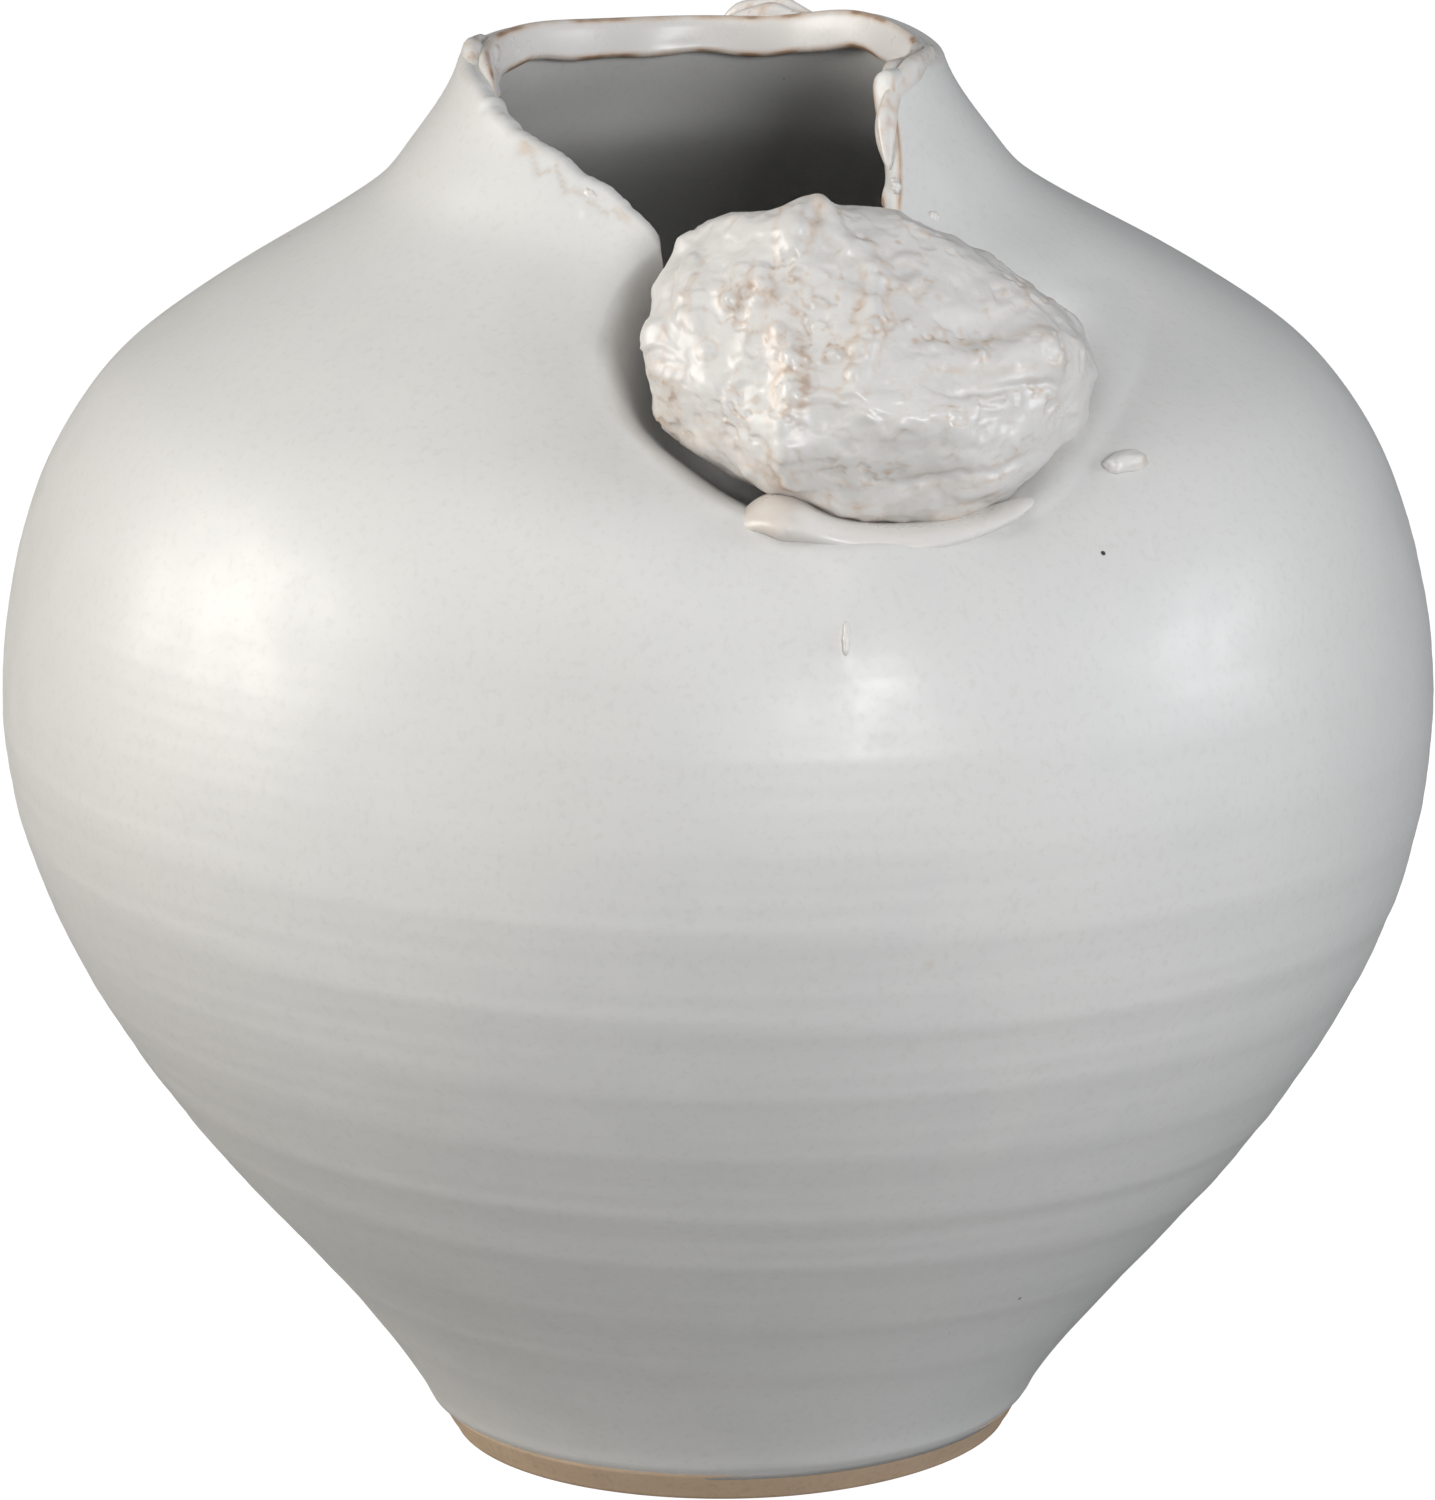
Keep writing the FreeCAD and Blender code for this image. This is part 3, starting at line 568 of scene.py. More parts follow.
@dataclass
class Bowls(SubAssembly):
    """The two bowls and the neck collar, built as one wall and parted at their joints.

    Rows up and down the wall are given by where a stretch starts and ends and how many rows it has. The tan
    spot has its degrees, height and strength, then half its width and height. Worn stretches are in degrees.
    """

    columns: int = 420
    underside: float = 5.5
    underside_radius: float = 57.0
    floor: float = 12.5
    floor_radius: float = 50.0
    wall_foot: Pair = (5.2, 16.0)
    wall_rows: tuple[int, int] = (118, 34)
    belly: float = 150.0
    root: float = 256.0
    low: float = 212.0
    nominal: float = 283.0
    rows_up: tuple[tuple[float, float, int], ...] = (
        (150.0, 205.0, 40), (206.2, 262.0, 60), (262.9, 283.0, 26),
    )
    rows_down: tuple[tuple[float, float, int], ...] = ((283.0, 240.0, 34), (237.5, 150.0, 26))
    rim_rows: int = 9
    rim_round: float = 2.2
    glaze_edge: float = 0.55
    glaze_roll: float = 2.6
    spot: Point = (16.1, 133.5, 0.55)
    spot_degree: float = 2.36
    spot_half: Pair = (1.6, 1.3)
    worn_right: tuple[Pair, Pair] = ((14.0, 26.0), (48.0, 56.0))
    worn_left: tuple[Pair, Pair] = ((-62.0, -52.0), (-12.0, 6.0))
    worn_back: Pair = (60.0, 75.0)
    slip_reach: Pair = (40.0, 345.0)
    slip_corners: tuple[Pair, ...] = ((1.2, 254.7), (1.2, 255.9), (4.2, 255.9), (4.2, 254.7))
    seam_radius: float = 140.0

    def build(self) -> Pieces:
        """Build the bowls, the collar and the slip under it.

        Returns:
            The pieces.
        """
        upper, collar = self.upper()
        return (
            (upper, Slot.SATIN, "upper_bowl"), (collar, Slot.SATIN, "neck_collar"),
            (self.lower(), Slot.SATIN, "lower_bowl"), (self.neck_slip(), Slot.SLIP, "neck_slip"),
        )

    def lower(self) -> bpy.types.Object:
        """Build the lower bowl from its underside to the belly joint.

        Returns:
            The lower bowl.
        """
        outer_rows, inner_rows = self.wall_rows
        outside = np.linspace(self.wall_foot[0], self.belly, outer_rows)
        inside = np.linspace(self.belly, self.wall_foot[1], inner_rows)
        heights = np.array([self.underside, self.underside, *outside, *inside, self.floor + 0.1, self.floor])
        kinds = [Row.MIDDLE, Row.UNDERSIDE] + [Row.OUTSIDE] * outer_rows + [Row.INSIDE] * inner_rows
        kinds = np.array(kinds + [Row.FLOOR, Row.MIDDLE])
        grid = Grid(len(heights), self.columns)
        angle, height, kind = front_bias(grid.turn), heights[grid.row], kinds[grid.row]
        above = height - glaze_line(angle)
        bead = self.glaze_edge * smooth_step(above, -0.6, 0.3) * bell(np.maximum(above, 0.0), self.glaze_roll)
        points = WALL.point(angle, height, np.where(kind == Row.OUTSIDE, -bead, WALL.thickness))
        radius = np.where(kind == Row.UNDERSIDE, self.underside_radius, 0.0)
        radius = np.where(kind == Row.FLOOR, self.floor_radius, radius)
        flat = (kind != Row.OUTSIDE) & (kind != Row.INSIDE)
        points[flat, 0] = radius[flat] * np.sin(angle[flat]) * MM
        points[flat, 1] = -radius[flat] * np.cos(angle[flat]) * MM
        points[:, 2] = np.where(flat | (height == self.belly), height * MM, points[:, 2])
        aside = bell((np.degrees(angle) - self.spot[0]) * self.spot_degree, self.spot_half[0])
        wear_and_shade = self.spot[2] * aside * bell(height - self.spot[1], self.spot_half[1]) * (kind == Row.OUTSIDE)
        return self.finish(grid.moved(points, wear_and_shade), "lower_bowl_wall")

    def upper_mesh(self) -> bmesh.types.BMesh:
        """Build the wall from the belly to the rim and the torn edge as one closed ring.

        Returns:
            The mesh.
        """
        outside = np.concatenate([np.linspace(*stretch) for stretch in self.rows_up])
        inside = np.concatenate([np.linspace(*stretch) for stretch in self.rows_down])
        turns = np.linspace(0.0, math.pi, self.rim_rows + 2)[1:-1]
        half = WALL.thickness / 2.0
        heights = np.concatenate([outside, np.full(len(turns), self.nominal), inside])
        depths = np.concatenate([0.0 * outside, half - half * np.cos(turns), 0.0 * inside + WALL.thickness])
        lifts = np.concatenate([0.0 * outside, np.sin(turns), 0.0 * inside])
        grid = Grid(len(heights), self.columns, loop=True)
        angle, height = front_bias(grid.turn), heights[grid.row]
        share = (WALL.top(angle) - self.rim_round - self.low) / (self.nominal - self.low)
        height = np.where(height > self.low, self.low + (height - self.low) * share, height)
        points = WALL.point(angle, height, depths[grid.row], lifts[grid.row] * self.rim_round)
        points[height == self.belly, 2] = self.belly * MM
        wear_and_shade = self.edge_wear(np.degrees(angle), grid.row - len(outside))
        flaked = WALL.flake(np.degrees(angle), height) * (grid.row < len(outside))
        return grid.moved(points, wear_and_shade + 1.7 * flaked * (1.0 - flaked) + 0.1 * flaked)

    def edge_wear(self, degrees: np.ndarray, past: np.ndarray) -> np.ndarray:
        """How far the glaze breaks along the rim and the torn edge.

        Args:
            degrees: angle of each vertex from the front.
            past: how many rows it lies past the outer edge.

        Returns:
            A value from 0 to 1 for each vertex.
        """
        outer = bell(past, 1.6)
        inner = bell(past - self.rim_rows + 1.5, 1.8)
        right = between(degrees, *self.worn_right)
        left = between(degrees, *self.worn_left)
        back = smooth_step(np.abs(degrees), *self.worn_back)
        patchy = 0.5 + 0.5 * np.sin(degrees / 3.1 + 1.3 * np.sin(degrees / 7.7))
        return outer * (0.85 * right + 0.25 * left * patchy + 0.35 * back) + inner * (
            0.95 * right + 0.8 * left * (0.6 + 0.4 * patchy) + 0.3 * back)

    def upper(self) -> tuple[bpy.types.Object, bpy.types.Object]:
        """Part the wall at the root of the neck.

        Returns:
            The upper bowl and the neck collar.
        """
        whole = self.upper_mesh()
        layer = whole.verts.layers.float_vector.new("smooth")
        whole.normal_update()
        for vert in whole.verts:
            vert[layer] = vert.normal
        pieces = []
        for name, keep_low in (("upper_bowl_wall", True), ("neck_collar_wall", False)):
            bm = whole.copy()
            bmesh.ops.bisect_plane(
                bm, geom=bm.verts[:] + bm.edges[:] + bm.faces[:], dist=1e-7, plane_co=(0, 0, self.root * MM),
                plane_no=(0, 0, 1), clear_outer=keep_low, clear_inner=not keep_low,
            )
            closed = bmesh.ops.triangulate(bm, faces=fill_openings(bm))["faces"]
            bm.normal_update()
            turned = [face for face in closed if (face.normal.z > 0.0) != keep_low]
            bmesh.ops.reverse_faces(bm, faces=turned)
            pieces.append(self.finish(bm, name))
        whole.free()
        return pieces[0], pieces[1]

    def neck_slip(self) -> bpy.types.Object:
        """Lay the joining slip under the collar, inside the wall, from one side of the tear to the other.

        Returns:
            The slip.
        """
        around = wrapped(np.linspace(*self.slip_reach, 160))
        depth, height = np.array(self.slip_corners).T
        sections = WALL.point(around[:, None], height[None, :], depth[None, :])
        return mesh_piece("neck_slip_ring", roll_mesh(sections))

    def finish(self, bm: bmesh.types.BMesh, name: str) -> bpy.types.Object:
        """Turn a wall mesh into an object whose hidden joints don't show in its shading.

        Args:
            bm: the wall, with a layer of smooth normals where it was parted.
            name: name of the piece.

        Returns:
            The piece.
        """
        parted = bm.verts.layers.float_vector.get("smooth") is not None
        piece = mesh_piece(name, bm)
        mesh = piece.data
        if parted:
            smooth = read_all(mesh.attributes["smooth"].data, "vector", 3)
            mesh.attributes.remove(mesh.attributes["smooth"])
        else:
            smooth = read_all(mesh.vertices, "normal", 3)
        places = read_all(mesh.vertices, "co", 3)
        reach = np.hypot(places[:, 0], places[:, 1])
        seam = (np.abs(places[:, 2] - self.belly * MM) < 1e-5) & (reach > self.seam_radius * MM)
        angle = np.arctan2(places[seam, 0], -places[seam, 1])
        smooth[seam] = WALL.frame(angle, np.full(angle.shape, self.belly))[1]
        corner = read_all(mesh.loops, "vertex_index", 1, np.int32)
        corners = read_all(mesh.polygons, "loop_total", 1, np.int32)
        facing = np.repeat(read_all(mesh.polygons, "normal", 3), corners, axis=0)
        normals = np.where(np.abs(facing[:, 2:3]) > 0.999, facing, smooth[corner])
        mesh.normals_split_custom_set(normals.tolist())
        return piece


def roll_mesh(sections: np.ndarray, wear_and_shade: np.ndarray | None = None) -> bmesh.types.BMesh:
    """A closed roll of clay through a row of sections.

    Args:
        sections: points in metres, by section and place round it.
        wear_and_shade: how far the glaze breaks at each of them.

    Returns:
        The roll.
    """
    grid = Grid(sections.shape[1], sections.shape[0] - 1, loop=True)
    breaks = None if wear_and_shade is None else np.broadcast_to(wear_and_shade, sections.shape[:2])[grid.column, grid.row]
    bm = grid.moved(sections[grid.column, grid.row], breaks)
    fill_openings(bm)
    bmesh.ops.recalc_face_normals(bm, faces=bm.faces[:])
    return bm


def noise_of(places: np.ndarray, scale: float, seed: float, octaves: int = 3) -> np.ndarray:
    """Smooth unevenness at many places, about -1 to 1.

    Args:
        places: places in mm.
        scale: how many lumps fit into a mm.
        seed: shift of the pattern.
        octaves: how many finer patterns are added.

    Returns:
        One value per place.
    """
    shift = Vector((seed, 0.37 * seed, -0.71 * seed))
    return np.array([noise.fractal(Vector(place) * scale + shift, 1.0, 2.0, octaves) for place in places])


def line_distance(places: np.ndarray, line: tuple[Pair, ...]) -> tuple[np.ndarray, np.ndarray]:
    """Distance from flat places to a line through points.

    Args:
        places: places across and up.
        line: the line's points.

    Returns:
        The distance of each place, and how far along the line its nearest point lies, from 0 to 1.
    """
    points = np.array(line, float)
    best = np.full(len(places), np.inf)
    along = np.zeros(len(places))
    for index, (start, end) in enumerate(zip(points, points[1:])):
        way = end - start
        part = np.clip((places - start) @ way / (way @ way), 0.0, 1.0)
        gap = np.hypot(*(places - start - part[:, None] * way).T)
        nearer = gap < best
        best = np.where(nearer, gap, best)
        along = np.where(nearer, (index + part) / (len(points) - 1), along)
    return best, along


def roll_sections(path: np.ndarray, radii: np.ndarray, flat: float = 1.0, around: int = 14) -> np.ndarray:
    """Sections of a tapering roll of clay along a path.

    Args:
        path: points in mm along the middle of the roll.
        radii: half width at each point in mm.
        flat: height of a section as a share of its width.
        around: points round a section.

    Returns:
        Points by section and place round it, in metres.
    """
    ahead = np.gradient(path, axis=0)
    ahead /= np.linalg.norm(ahead, axis=1)[:, None]
    outward = path * np.array((1.0, 1.0, 0.0))
    outward /= np.linalg.norm(outward, axis=1)[:, None]
    aside = np.cross(ahead, outward)
    aside /= np.linalg.norm(aside, axis=1)[:, None]
    outward = np.cross(aside, ahead)
    turn = np.linspace(0.0, 2.0 * math.pi, around, endpoint=False)
    ring = aside[:, None] * np.cos(turn)[None, :, None]
    ring = ring + outward[:, None] * (flat * np.sin(turn))[None, :, None]
    return (path[:, None] + ring * radii[:, None, None]) * MM


def even_path(points: tuple[Point, ...], count: int) -> np.ndarray:
    """A smooth line of evenly shared points through the given ones."""
    place = np.linspace(0.0, len(points) - 1.0, count)
    return np.stack([Curve(tuple(enumerate(values))).at(place) for values in zip(*points)], -1)


def clay_rolls(name: str, rolls: tuple[Roll, ...], count: int = 36) -> bpy.types.Object:
    """Pinched rolls of clay on the wall, joined into one piece.

    Args:
        name: name of the piece.
        rolls: for each roll its points as degrees, height and depth below the outside, its half width and
            its height as a share of its width.
        count: number of sections of a roll.

    Returns:
        The piece.
    """
    whole = bmesh.new()
    share = np.linspace(-1.0, 1.0, count)
    for points, width, flat in rolls:
        track = even_path(points, count)
        path = WALL.point(np.radians(track[:, 0]), track[:, 1], track[:, 2]) / MM
        swell = 1.0 + 0.12 * np.sin(9.0 * share + width)
        radii = width * swell * np.sqrt(np.maximum(1.0 - share**2, 0.0004))
        part = roll_mesh(roll_sections(path, radii, flat))
        mesh = bpy.data.meshes.new("roll")
        part.to_mesh(mesh)
        part.free()
        whole.from_mesh(mesh)
        bpy.data.meshes.remove(mesh)
    return mesh_piece(name, whole)


@dataclass
class Rim(SubAssembly):
    """What is folded and rolled on the rim: the lip band, two folds and the petal.

    The lip's outline gives depth below the outside, height above the rim and how far the glaze breaks. The
    rolls' places are in degrees from the front, height and depth below the outside.
    """

    lip_start: float = 51.0
    lip_end: float = 301.0
    lip_rise: float = 9.0
    lip_fall: float = 20.0
    lip_sections: int = 300
    lip_middle: Pair = (3.4, -2.6)
    lip_least: float = 0.1
    lip_low: Pair = (3.0, 6.0)
    outline: tuple[Point, ...] = (
        (3.0, -2.4, 0.0), (3.9, -0.3, 0.1), (4.7, 0.25, 0.5), (5.3, 0.25, 0.9), (5.8, -0.15, 0.9),
        (6.2, -0.8, 0.3), (6.6, -1.9, 0.0), (6.9, -3.3, 0.0), (7.25, -4.7, 0.0), (7.5, -5.7, 0.12),
        (7.6, -6.3, 0.6), (7.55, -6.8, 1.0), (7.2, -7.3, 1.0), (6.4, -7.6, 0.9), (3.6, -6.6, 0.3),
        (1.8, -5.0, 0.0),
    )
    left_rolls: tuple[Roll, ...] = (
        (((-112.0, 281.5, 2.2), (-100.0, 282.2, 2.2), (-88.0, 281.6, 2.8), (-78.0, 278.0, 3.2),
          (-72.0, 274.0, 3.6)), 3.0, 0.7),
        (((-116.0, 282.0, 5.0), (-104.0, 282.0, 5.6), (-94.0, 280.4, 6.4), (-86.0, 276.0, 7.2)), 2.1, 0.7),
    )
    right_rolls: tuple[Roll, ...] = (
        (((90.0, 281.6, 2.0), (77.0, 282.6, 2.0), (63.0, 281.8, 1.8), (52.0, 279.0, 1.6), (45.5, 274.0, 1.9),
          (41.0, 267.5, 2.4)), 2.9, 0.7),
        (((98.0, 282.6, 4.6), (82.0, 283.0, 4.8), (67.0, 281.8, 4.8), (55.0, 279.0, 4.4), (47.0, 273.5, 4.4),
          (43.0, 266.0, 4.2)), 2.3, 0.85),
        (((92.0, 280.6, 7.0), (78.0, 279.4, 7.2), (65.0, 277.2, 7.0), (51.0, 273.0, 6.0)), 1.8, 0.85),
    )
    petal_rolls: tuple[Roll, ...] = (
        (((151.0, 277.0, 0.6), (158.0, 280.4, 0.3), (165.0, 281.2, 0.2), (172.0, 280.2, 0.3),
          (179.0, 276.5, 0.7)), 2.9, 0.5),
        (((151.0, 278.6, 3.0), (160.0, 281.6, 2.8), (169.0, 281.4, 2.8), (178.0, 278.4, 3.0)), 1.9, 0.8),
    )

    def build(self) -> Pieces:
        """Build the folds, the petal and the lip band.

        Returns:
            The pieces.
        """
        left = self.fold("left_fold", self.left_rolls)
        right = self.fold("right_fold", self.right_rolls)
        petal = self.fold("back_petal", self.petal_rolls)
        return (
            (left, Slot.GLOSS, "rim_fold_left"), (right, Slot.GLOSS, "rim_fold_right"),
            (petal, Slot.GLOSS, "rim_petal"), (self.lip(), Slot.GLOSS, "lip_band"),
        )

    def lip(self) -> bpy.types.Object:
        """Roll the lip band round the inside of the rim.

        Returns:
            The lip band.
        """
        start, end = self.lip_start, self.lip_end
        degrees = np.linspace(start, end, self.lip_sections)
        angle = wrapped(degrees)
        top = WALL.top(angle)
        taper = between(degrees, (start - 1.0, start + self.lip_rise), (end - self.lip_fall, end + 1.0))
        taper = self.lip_least + (1.0 - self.lip_least) * taper
        shape, middle = np.array(self.outline), np.array(self.lip_middle)
        local = middle + (shape[None, :, :2] - middle) * taper[:, None, None]
        low = smooth_step(-local[..., 1], *self.lip_low)
        wave = 0.35 * np.sin(degrees / 9.0) + 0.25 * np.sin(degrees / 4.1 + 1.0)
        edge = WALL.skin(angle, top - 1.0)
        reach = np.hypot(edge[:, 0], edge[:, 1])
        inset = local[..., 0] + 0.25 * np.sin(degrees / 13.0)[:, None] * low
        height = top[:, None] + local[..., 1] + wave[:, None] * low
        share = (reach[:, None] - inset) / reach[:, None]
        sections = np.stack([edge[:, :1] * share, edge[:, 1:2] * share, height], -1)
        patchy = 0.75 + 0.25 * np.sin(degrees / 6.3 + np.sin(degrees / 2.7))
        return mesh_piece("lip_band_roll", roll_mesh(sections * MM, shape[None, :, 2] * patchy[:, None]))

    @staticmethod
    def fold(name: str, rolls: tuple[Roll, ...]) -> bpy.types.Object:
        """Pinch a fold from rolls of clay, with brown where its ridges break the glaze.

        Args:
            name: name of the piece.
            rolls: its rolls.

        Returns:
            The fold.
        """
        piece = clay_rolls(name, rolls)
        ridge = noise_of(np.array([vert.co for vert in piece.data.vertices]) / MM, 0.35, 5.0)
        wear_and_shade_layer(piece.data, 0.12 + 0.8 * np.maximum(ridge, 0.0) + 0.5 * bell(ridge, 0.06))
        return piece


@dataclass
class Crumb(SubAssembly):
    """The crumb of clay stuck to the right shoulder."""

    degrees: float = 41.5
    height: float = 220.5
    half: Point = (2.6, 5.2, 2.4)
    turn: float = -48.0
    detail: int = 4
    rough: float = 0.12
    seed: float = 9.0

    def build(self) -> Pieces:
        """Shape the crumb from a ball.

        Returns:
            The crumb.
        """
        place = WALL.point(np.radians([self.degrees]), np.array([self.height]), np.zeros(1))
        centre = Vector(place[0])
        bm = bmesh.new()
        bmesh.ops.create_icosphere(bm, subdivisions=self.detail, radius=1.0)
        spin = Matrix.Rotation(math.radians(self.turn), 4, "Z")
        for vert in bm.verts:
            way = vert.co.normalized()
            bump = noise.fractal(way * 1.6 + Vector((self.seed, 0, 0)), 1.0, 2.0, 3) * self.rough
            fine = noise.fractal(way * 5.0 + Vector((0, self.seed, 0)), 1.0, 2.0, 2) * self.rough * 0.3
            scaled = Vector([step * half for step, half in zip(way, self.half)]) * (1.0 + bump + fine)
            vert.co = centre + spin @ scaled * MM
        piece = mesh_piece("crumb", bm)
        wear_and_shade_layer(piece.data, np.array([0.5 * max(vert.normal.x, 0.0) ** 2 for vert in piece.data.vertices]))
        return ((piece, Slot.GLOSS, "clay_crumb"),)


@dataclass
class GlazeBeads(SubAssembly):
    """The run of glaze on the front of the belly and the beads along the tear."""

    rolls: tuple[Roll, ...] = (
        (((10.4, 199.6, -0.2), (10.3, 197.6, -0.3), (10.2, 195.6, -0.45), (10.1, 193.4, -0.4)), 0.75, 0.8),
        (((-26.2, 265.6, 0.5), (-24.6, 264.6, 0.3), (-22.6, 264.0, 0.5)), 1.1, 0.5),
        (((43.2, 258.4, 0.2), (44.1, 257.8, 0.0), (45.2, 257.3, 0.2)), 1.0, 0.6),
        (((38.9, 265.6, 0.3), (38.4, 264.2, 0.1), (37.2, 263.0, 0.3)), 1.2, 0.6),
    )

    def build(self) -> Pieces:
        """Set the beads, joined into one piece, which stands for no node."""
        return ((clay_rolls("glaze_beads", self.rolls), Slot.GLOSS, None),)


@dataclass
class Stone(SubAssembly):
    """The glazed stone in the tear and the clay that beds it.

    Its outline is given in shares of its length, height and depth: how far across, lowest, highest, nearest
    and farthest. Marks on its face are placed as seen from the front, by how far across and how high they
    look. Noises are given by how many lumps fit into a mm, the shift of the pattern and its octaves.
    """

    left: float = -15.0
    bottom: float = 207.0
    front: float = -125.0
    length: float = 88.0
    tall: float = 61.5
    deep: float = 74.0
    detail: int = 7
    look: float = math.radians(15.0)
    shares: tuple[tuple[float, float, float, float, float], ...] = (
        (0.0, 0.42, 0.58, 0.34, 0.48), (0.034, 0.365, 0.80, 0.24, 0.64), (0.09, 0.30, 0.935, 0.15, 0.75),
        (0.15, 0.24, 0.95, 0.10, 0.84), (0.21, 0.17, 0.985, 0.05, 0.90), (0.33, 0.08, 1.0, 0.0, 0.97),
        (0.42, 0.01, 1.0, 0.0, 1.0), (0.57, 0.0, 0.965, 0.02, 1.0), (0.69, 0.0, 0.90, 0.07, 0.98),
        (0.784, 0.055, 0.81, 0.15, 0.93), (0.85, 0.13, 0.73, 0.24, 0.88), (0.91, 0.20, 0.66, 0.32, 0.83),
        (0.93, 0.222, 0.645, 0.35, 0.81), (0.95, 0.245, 0.625, 0.38, 0.79),
        (0.97, 0.278, 0.595, 0.41, 0.765), (0.985, 0.322, 0.557, 0.45, 0.73),
        (0.995, 0.372, 0.512, 0.50, 0.69), (1.0, 0.42, 0.47, 0.55, 0.64),
    )
    facets: tuple[tuple[Point, Point], ...] = (
        ((36.0, -116.0, 226.0), (0.10, -0.93, -0.34)),
        ((46.0, -103.0, 247.0), (0.30, -0.66, 0.69)),
        ((66.0, -96.0, 232.0), (0.74, -0.66, -0.05)),
        ((20.0, -110.0, 247.5), (-0.30, -0.80, 0.50)),
        ((1.0, -107.0, 228.0), (-0.76, -0.60, -0.24)),
        ((-5.0, -96.0, 252.5), (-0.58, -0.46, 0.67)),
    )
    facet_round: float = 1.0
    facet_cut: float = 0.85
    broad: tuple[float, float, int] = (0.05, 3.0, 3)
    wrinkle: tuple[float, float, int] = (0.11, 11.0, 3)
    wrinkle_way: Point = (0.7, 0.8, 1.5)
    cells: tuple[float, float, int] = (0.3, 23.0, 2)
    grain: tuple[float, float, int] = (0.7, 31.0, 2)
    bend: tuple[float, float, int] = (0.3, 41.0, 2)
    broad_lift: float = 1.6
    wrinkle_lift: float = 0.5
    grain_lift: float = 0.05
    pit_depth: float = 0.6
    ridge_bend: float = 0.6
    ridge_gain: float = 1.05
    # Faces turned against this way take painted shade together with scant glaze.
    thin_and_shaded_side: Point = (0.45, 0.0, 0.9)
    ridges: tuple[tuple[float, float, tuple[Pair, ...]], ...] = (
        (2.2, 2.6, ((18.9, 239.5), (16.3, 234.9), (14.7, 231.2), (15.0, 226.1))),
        (1.9, 1.7, ((19.4, 239.1), (21.9, 234.1), (22.8, 230.1), (24.9, 228.5), (28.0, 227.7), (29.0, 225.4),
                    (30.5, 222.9))),
        (1.5, 1.9, ((30.5, 224.0), (29.8, 218.9), (29.4, 214.6), (29.2, 210.9))),
        (1.2, 1.9, ((29.1, 211.8), (27.7, 205.9), (26.1, 202.2), (25.2, 200.0))),
        (1.4, 2.2, ((12.3, 216.7), (13.5, 208.5), (15.0, 206.9), (14.3, 202.3), (13.4, 198.0), (12.4, 192.5),
                    (13.3, 187.5), (18.2, 181.9))),
        (1.2, 1.5, ((9.9, 226.6), (8.7, 223.0), (9.6, 220.5), (8.0, 217.4))),
        (1.0, 1.5, ((6.2, 226.2), (5.5, 222.5), (3.6, 220.0), (2.4, 216.4))),
        (1.3, 1.5, ((-3.4, 229.2), (-4.7, 224.9), (-5.7, 221.2), (-5.5, 217.5), (-7.1, 214.4))),
        (0.9, 1.3, ((-2.6, 221.1), (-3.3, 216.8), (-4.0, 212.4))),
        (1.4, 2.4, ((-11.2, 216.3), (-13.1, 213.1), (-12.9, 209.9))),
        (0.9, 2.2, ((37.1, 207.0), (40.8, 208.2), (47.0, 208.1), (50.8, 208.7))),
        (0.6, 1.0, ((32.3, 222.7), (34.8, 220.8), (37.9, 221.4), (39.2, 224.5), (36.7, 227.0),
                    (33.6, 226.4))),
        (0.6, 1.1, ((51.6, 219.5), (52.9, 217.0), (55.4, 218.8), (59.1, 219.4))),
        (1.1, 2.6, ((47.8, 207.1), (53.4, 208.3), (59.7, 209.5), (65.9, 210.6))),
        (0.5, 0.8, ((27.0, 197.8), (29.5, 196.0), (31.4, 193.5), (32.9, 193.3), (33.9, 194.7),
                    (35.7, 195.6))),
        (0.6, 1.0, ((14.6, 199.2), (18.3, 200.4), (22.1, 200.4), (24.6, 198.5))),
        (0.5, 0.9, ((39.5, 197.1), (43.2, 197.4), (45.7, 196.1))),
        (0.6, 1.0, ((18.9, 181.5), (23.3, 179.6), (27.7, 178.9), (31.5, 179.5))),
        (0.6, 1.1, ((44.0, 181.2), (48.4, 182.4), (53.4, 183.9))),
        (0.7, 1.0, ((4.5, 187.3), (8.3, 185.4), (10.8, 182.2))),
        (0.7, 1.0, ((10.8, 188.3), (13.3, 185.8), (15.8, 183.3))),
        (0.6, 1.0, ((2.9, 206.6), (5.4, 207.8), (8.5, 206.5))),
        (0.5, 1.0, ((-12.9, 207.2), (-9.7, 206.0), (-7.2, 205.3))),
        (-0.9, 0.8, ((44.5, 200.8), (50.2, 201.4), (55.1, 202.4), (60.8, 203.1), (65.7, 202.8))),
        (-0.5, 0.7, ((48.9, 199.8), (52.0, 199.0), (55.1, 198.7))),
        (-0.8, 0.9, ((33.3, 183.4), (39.5, 184.2), (47.0, 185.7), (53.3, 186.6), (58.9, 189.6))),
    )
    beads: tuple[tuple[float, float, float, float], ...] = (
        (22.5, 208.3, 1.2, 0.9), (26.4, 209.3, 1.3, 1.0), (25.8, 204.6, 1.1, 0.8), (14.6, 207.0, 1.5, 1.1),
        (14.2, 201.4, 2.2, 1.3), (12.2, 212.8, 1.1, 0.8), (29.6, 213.0, 1.0, 0.6), (50.0, 208.0, 0.9, 0.6),
        (-1.5, 209.8, 1.3, 0.8), (3.0, 218.8, 1.2, 0.8), (16.6, 231.6, 1.4, 0.9), (36.1, 213.8, 0.7, 0.5),
    )
    pits: tuple[tuple[float, float, float, float], ...] = (
        (21.5, 214.5, 8.5, 7.5), (44.0, 211.5, 12.0, 4.5), (4.5, 198.0, 5.5, 8.0), (57.0, 221.0, 8.0, 4.0),
        (28.0, 187.0, 10.0, 4.0), (60.0, 199.5, 6.0, 4.0), (14.0, 224.0, 7.0, 4.5), (40.0, 230.0, 10.0, 3.0),
    )
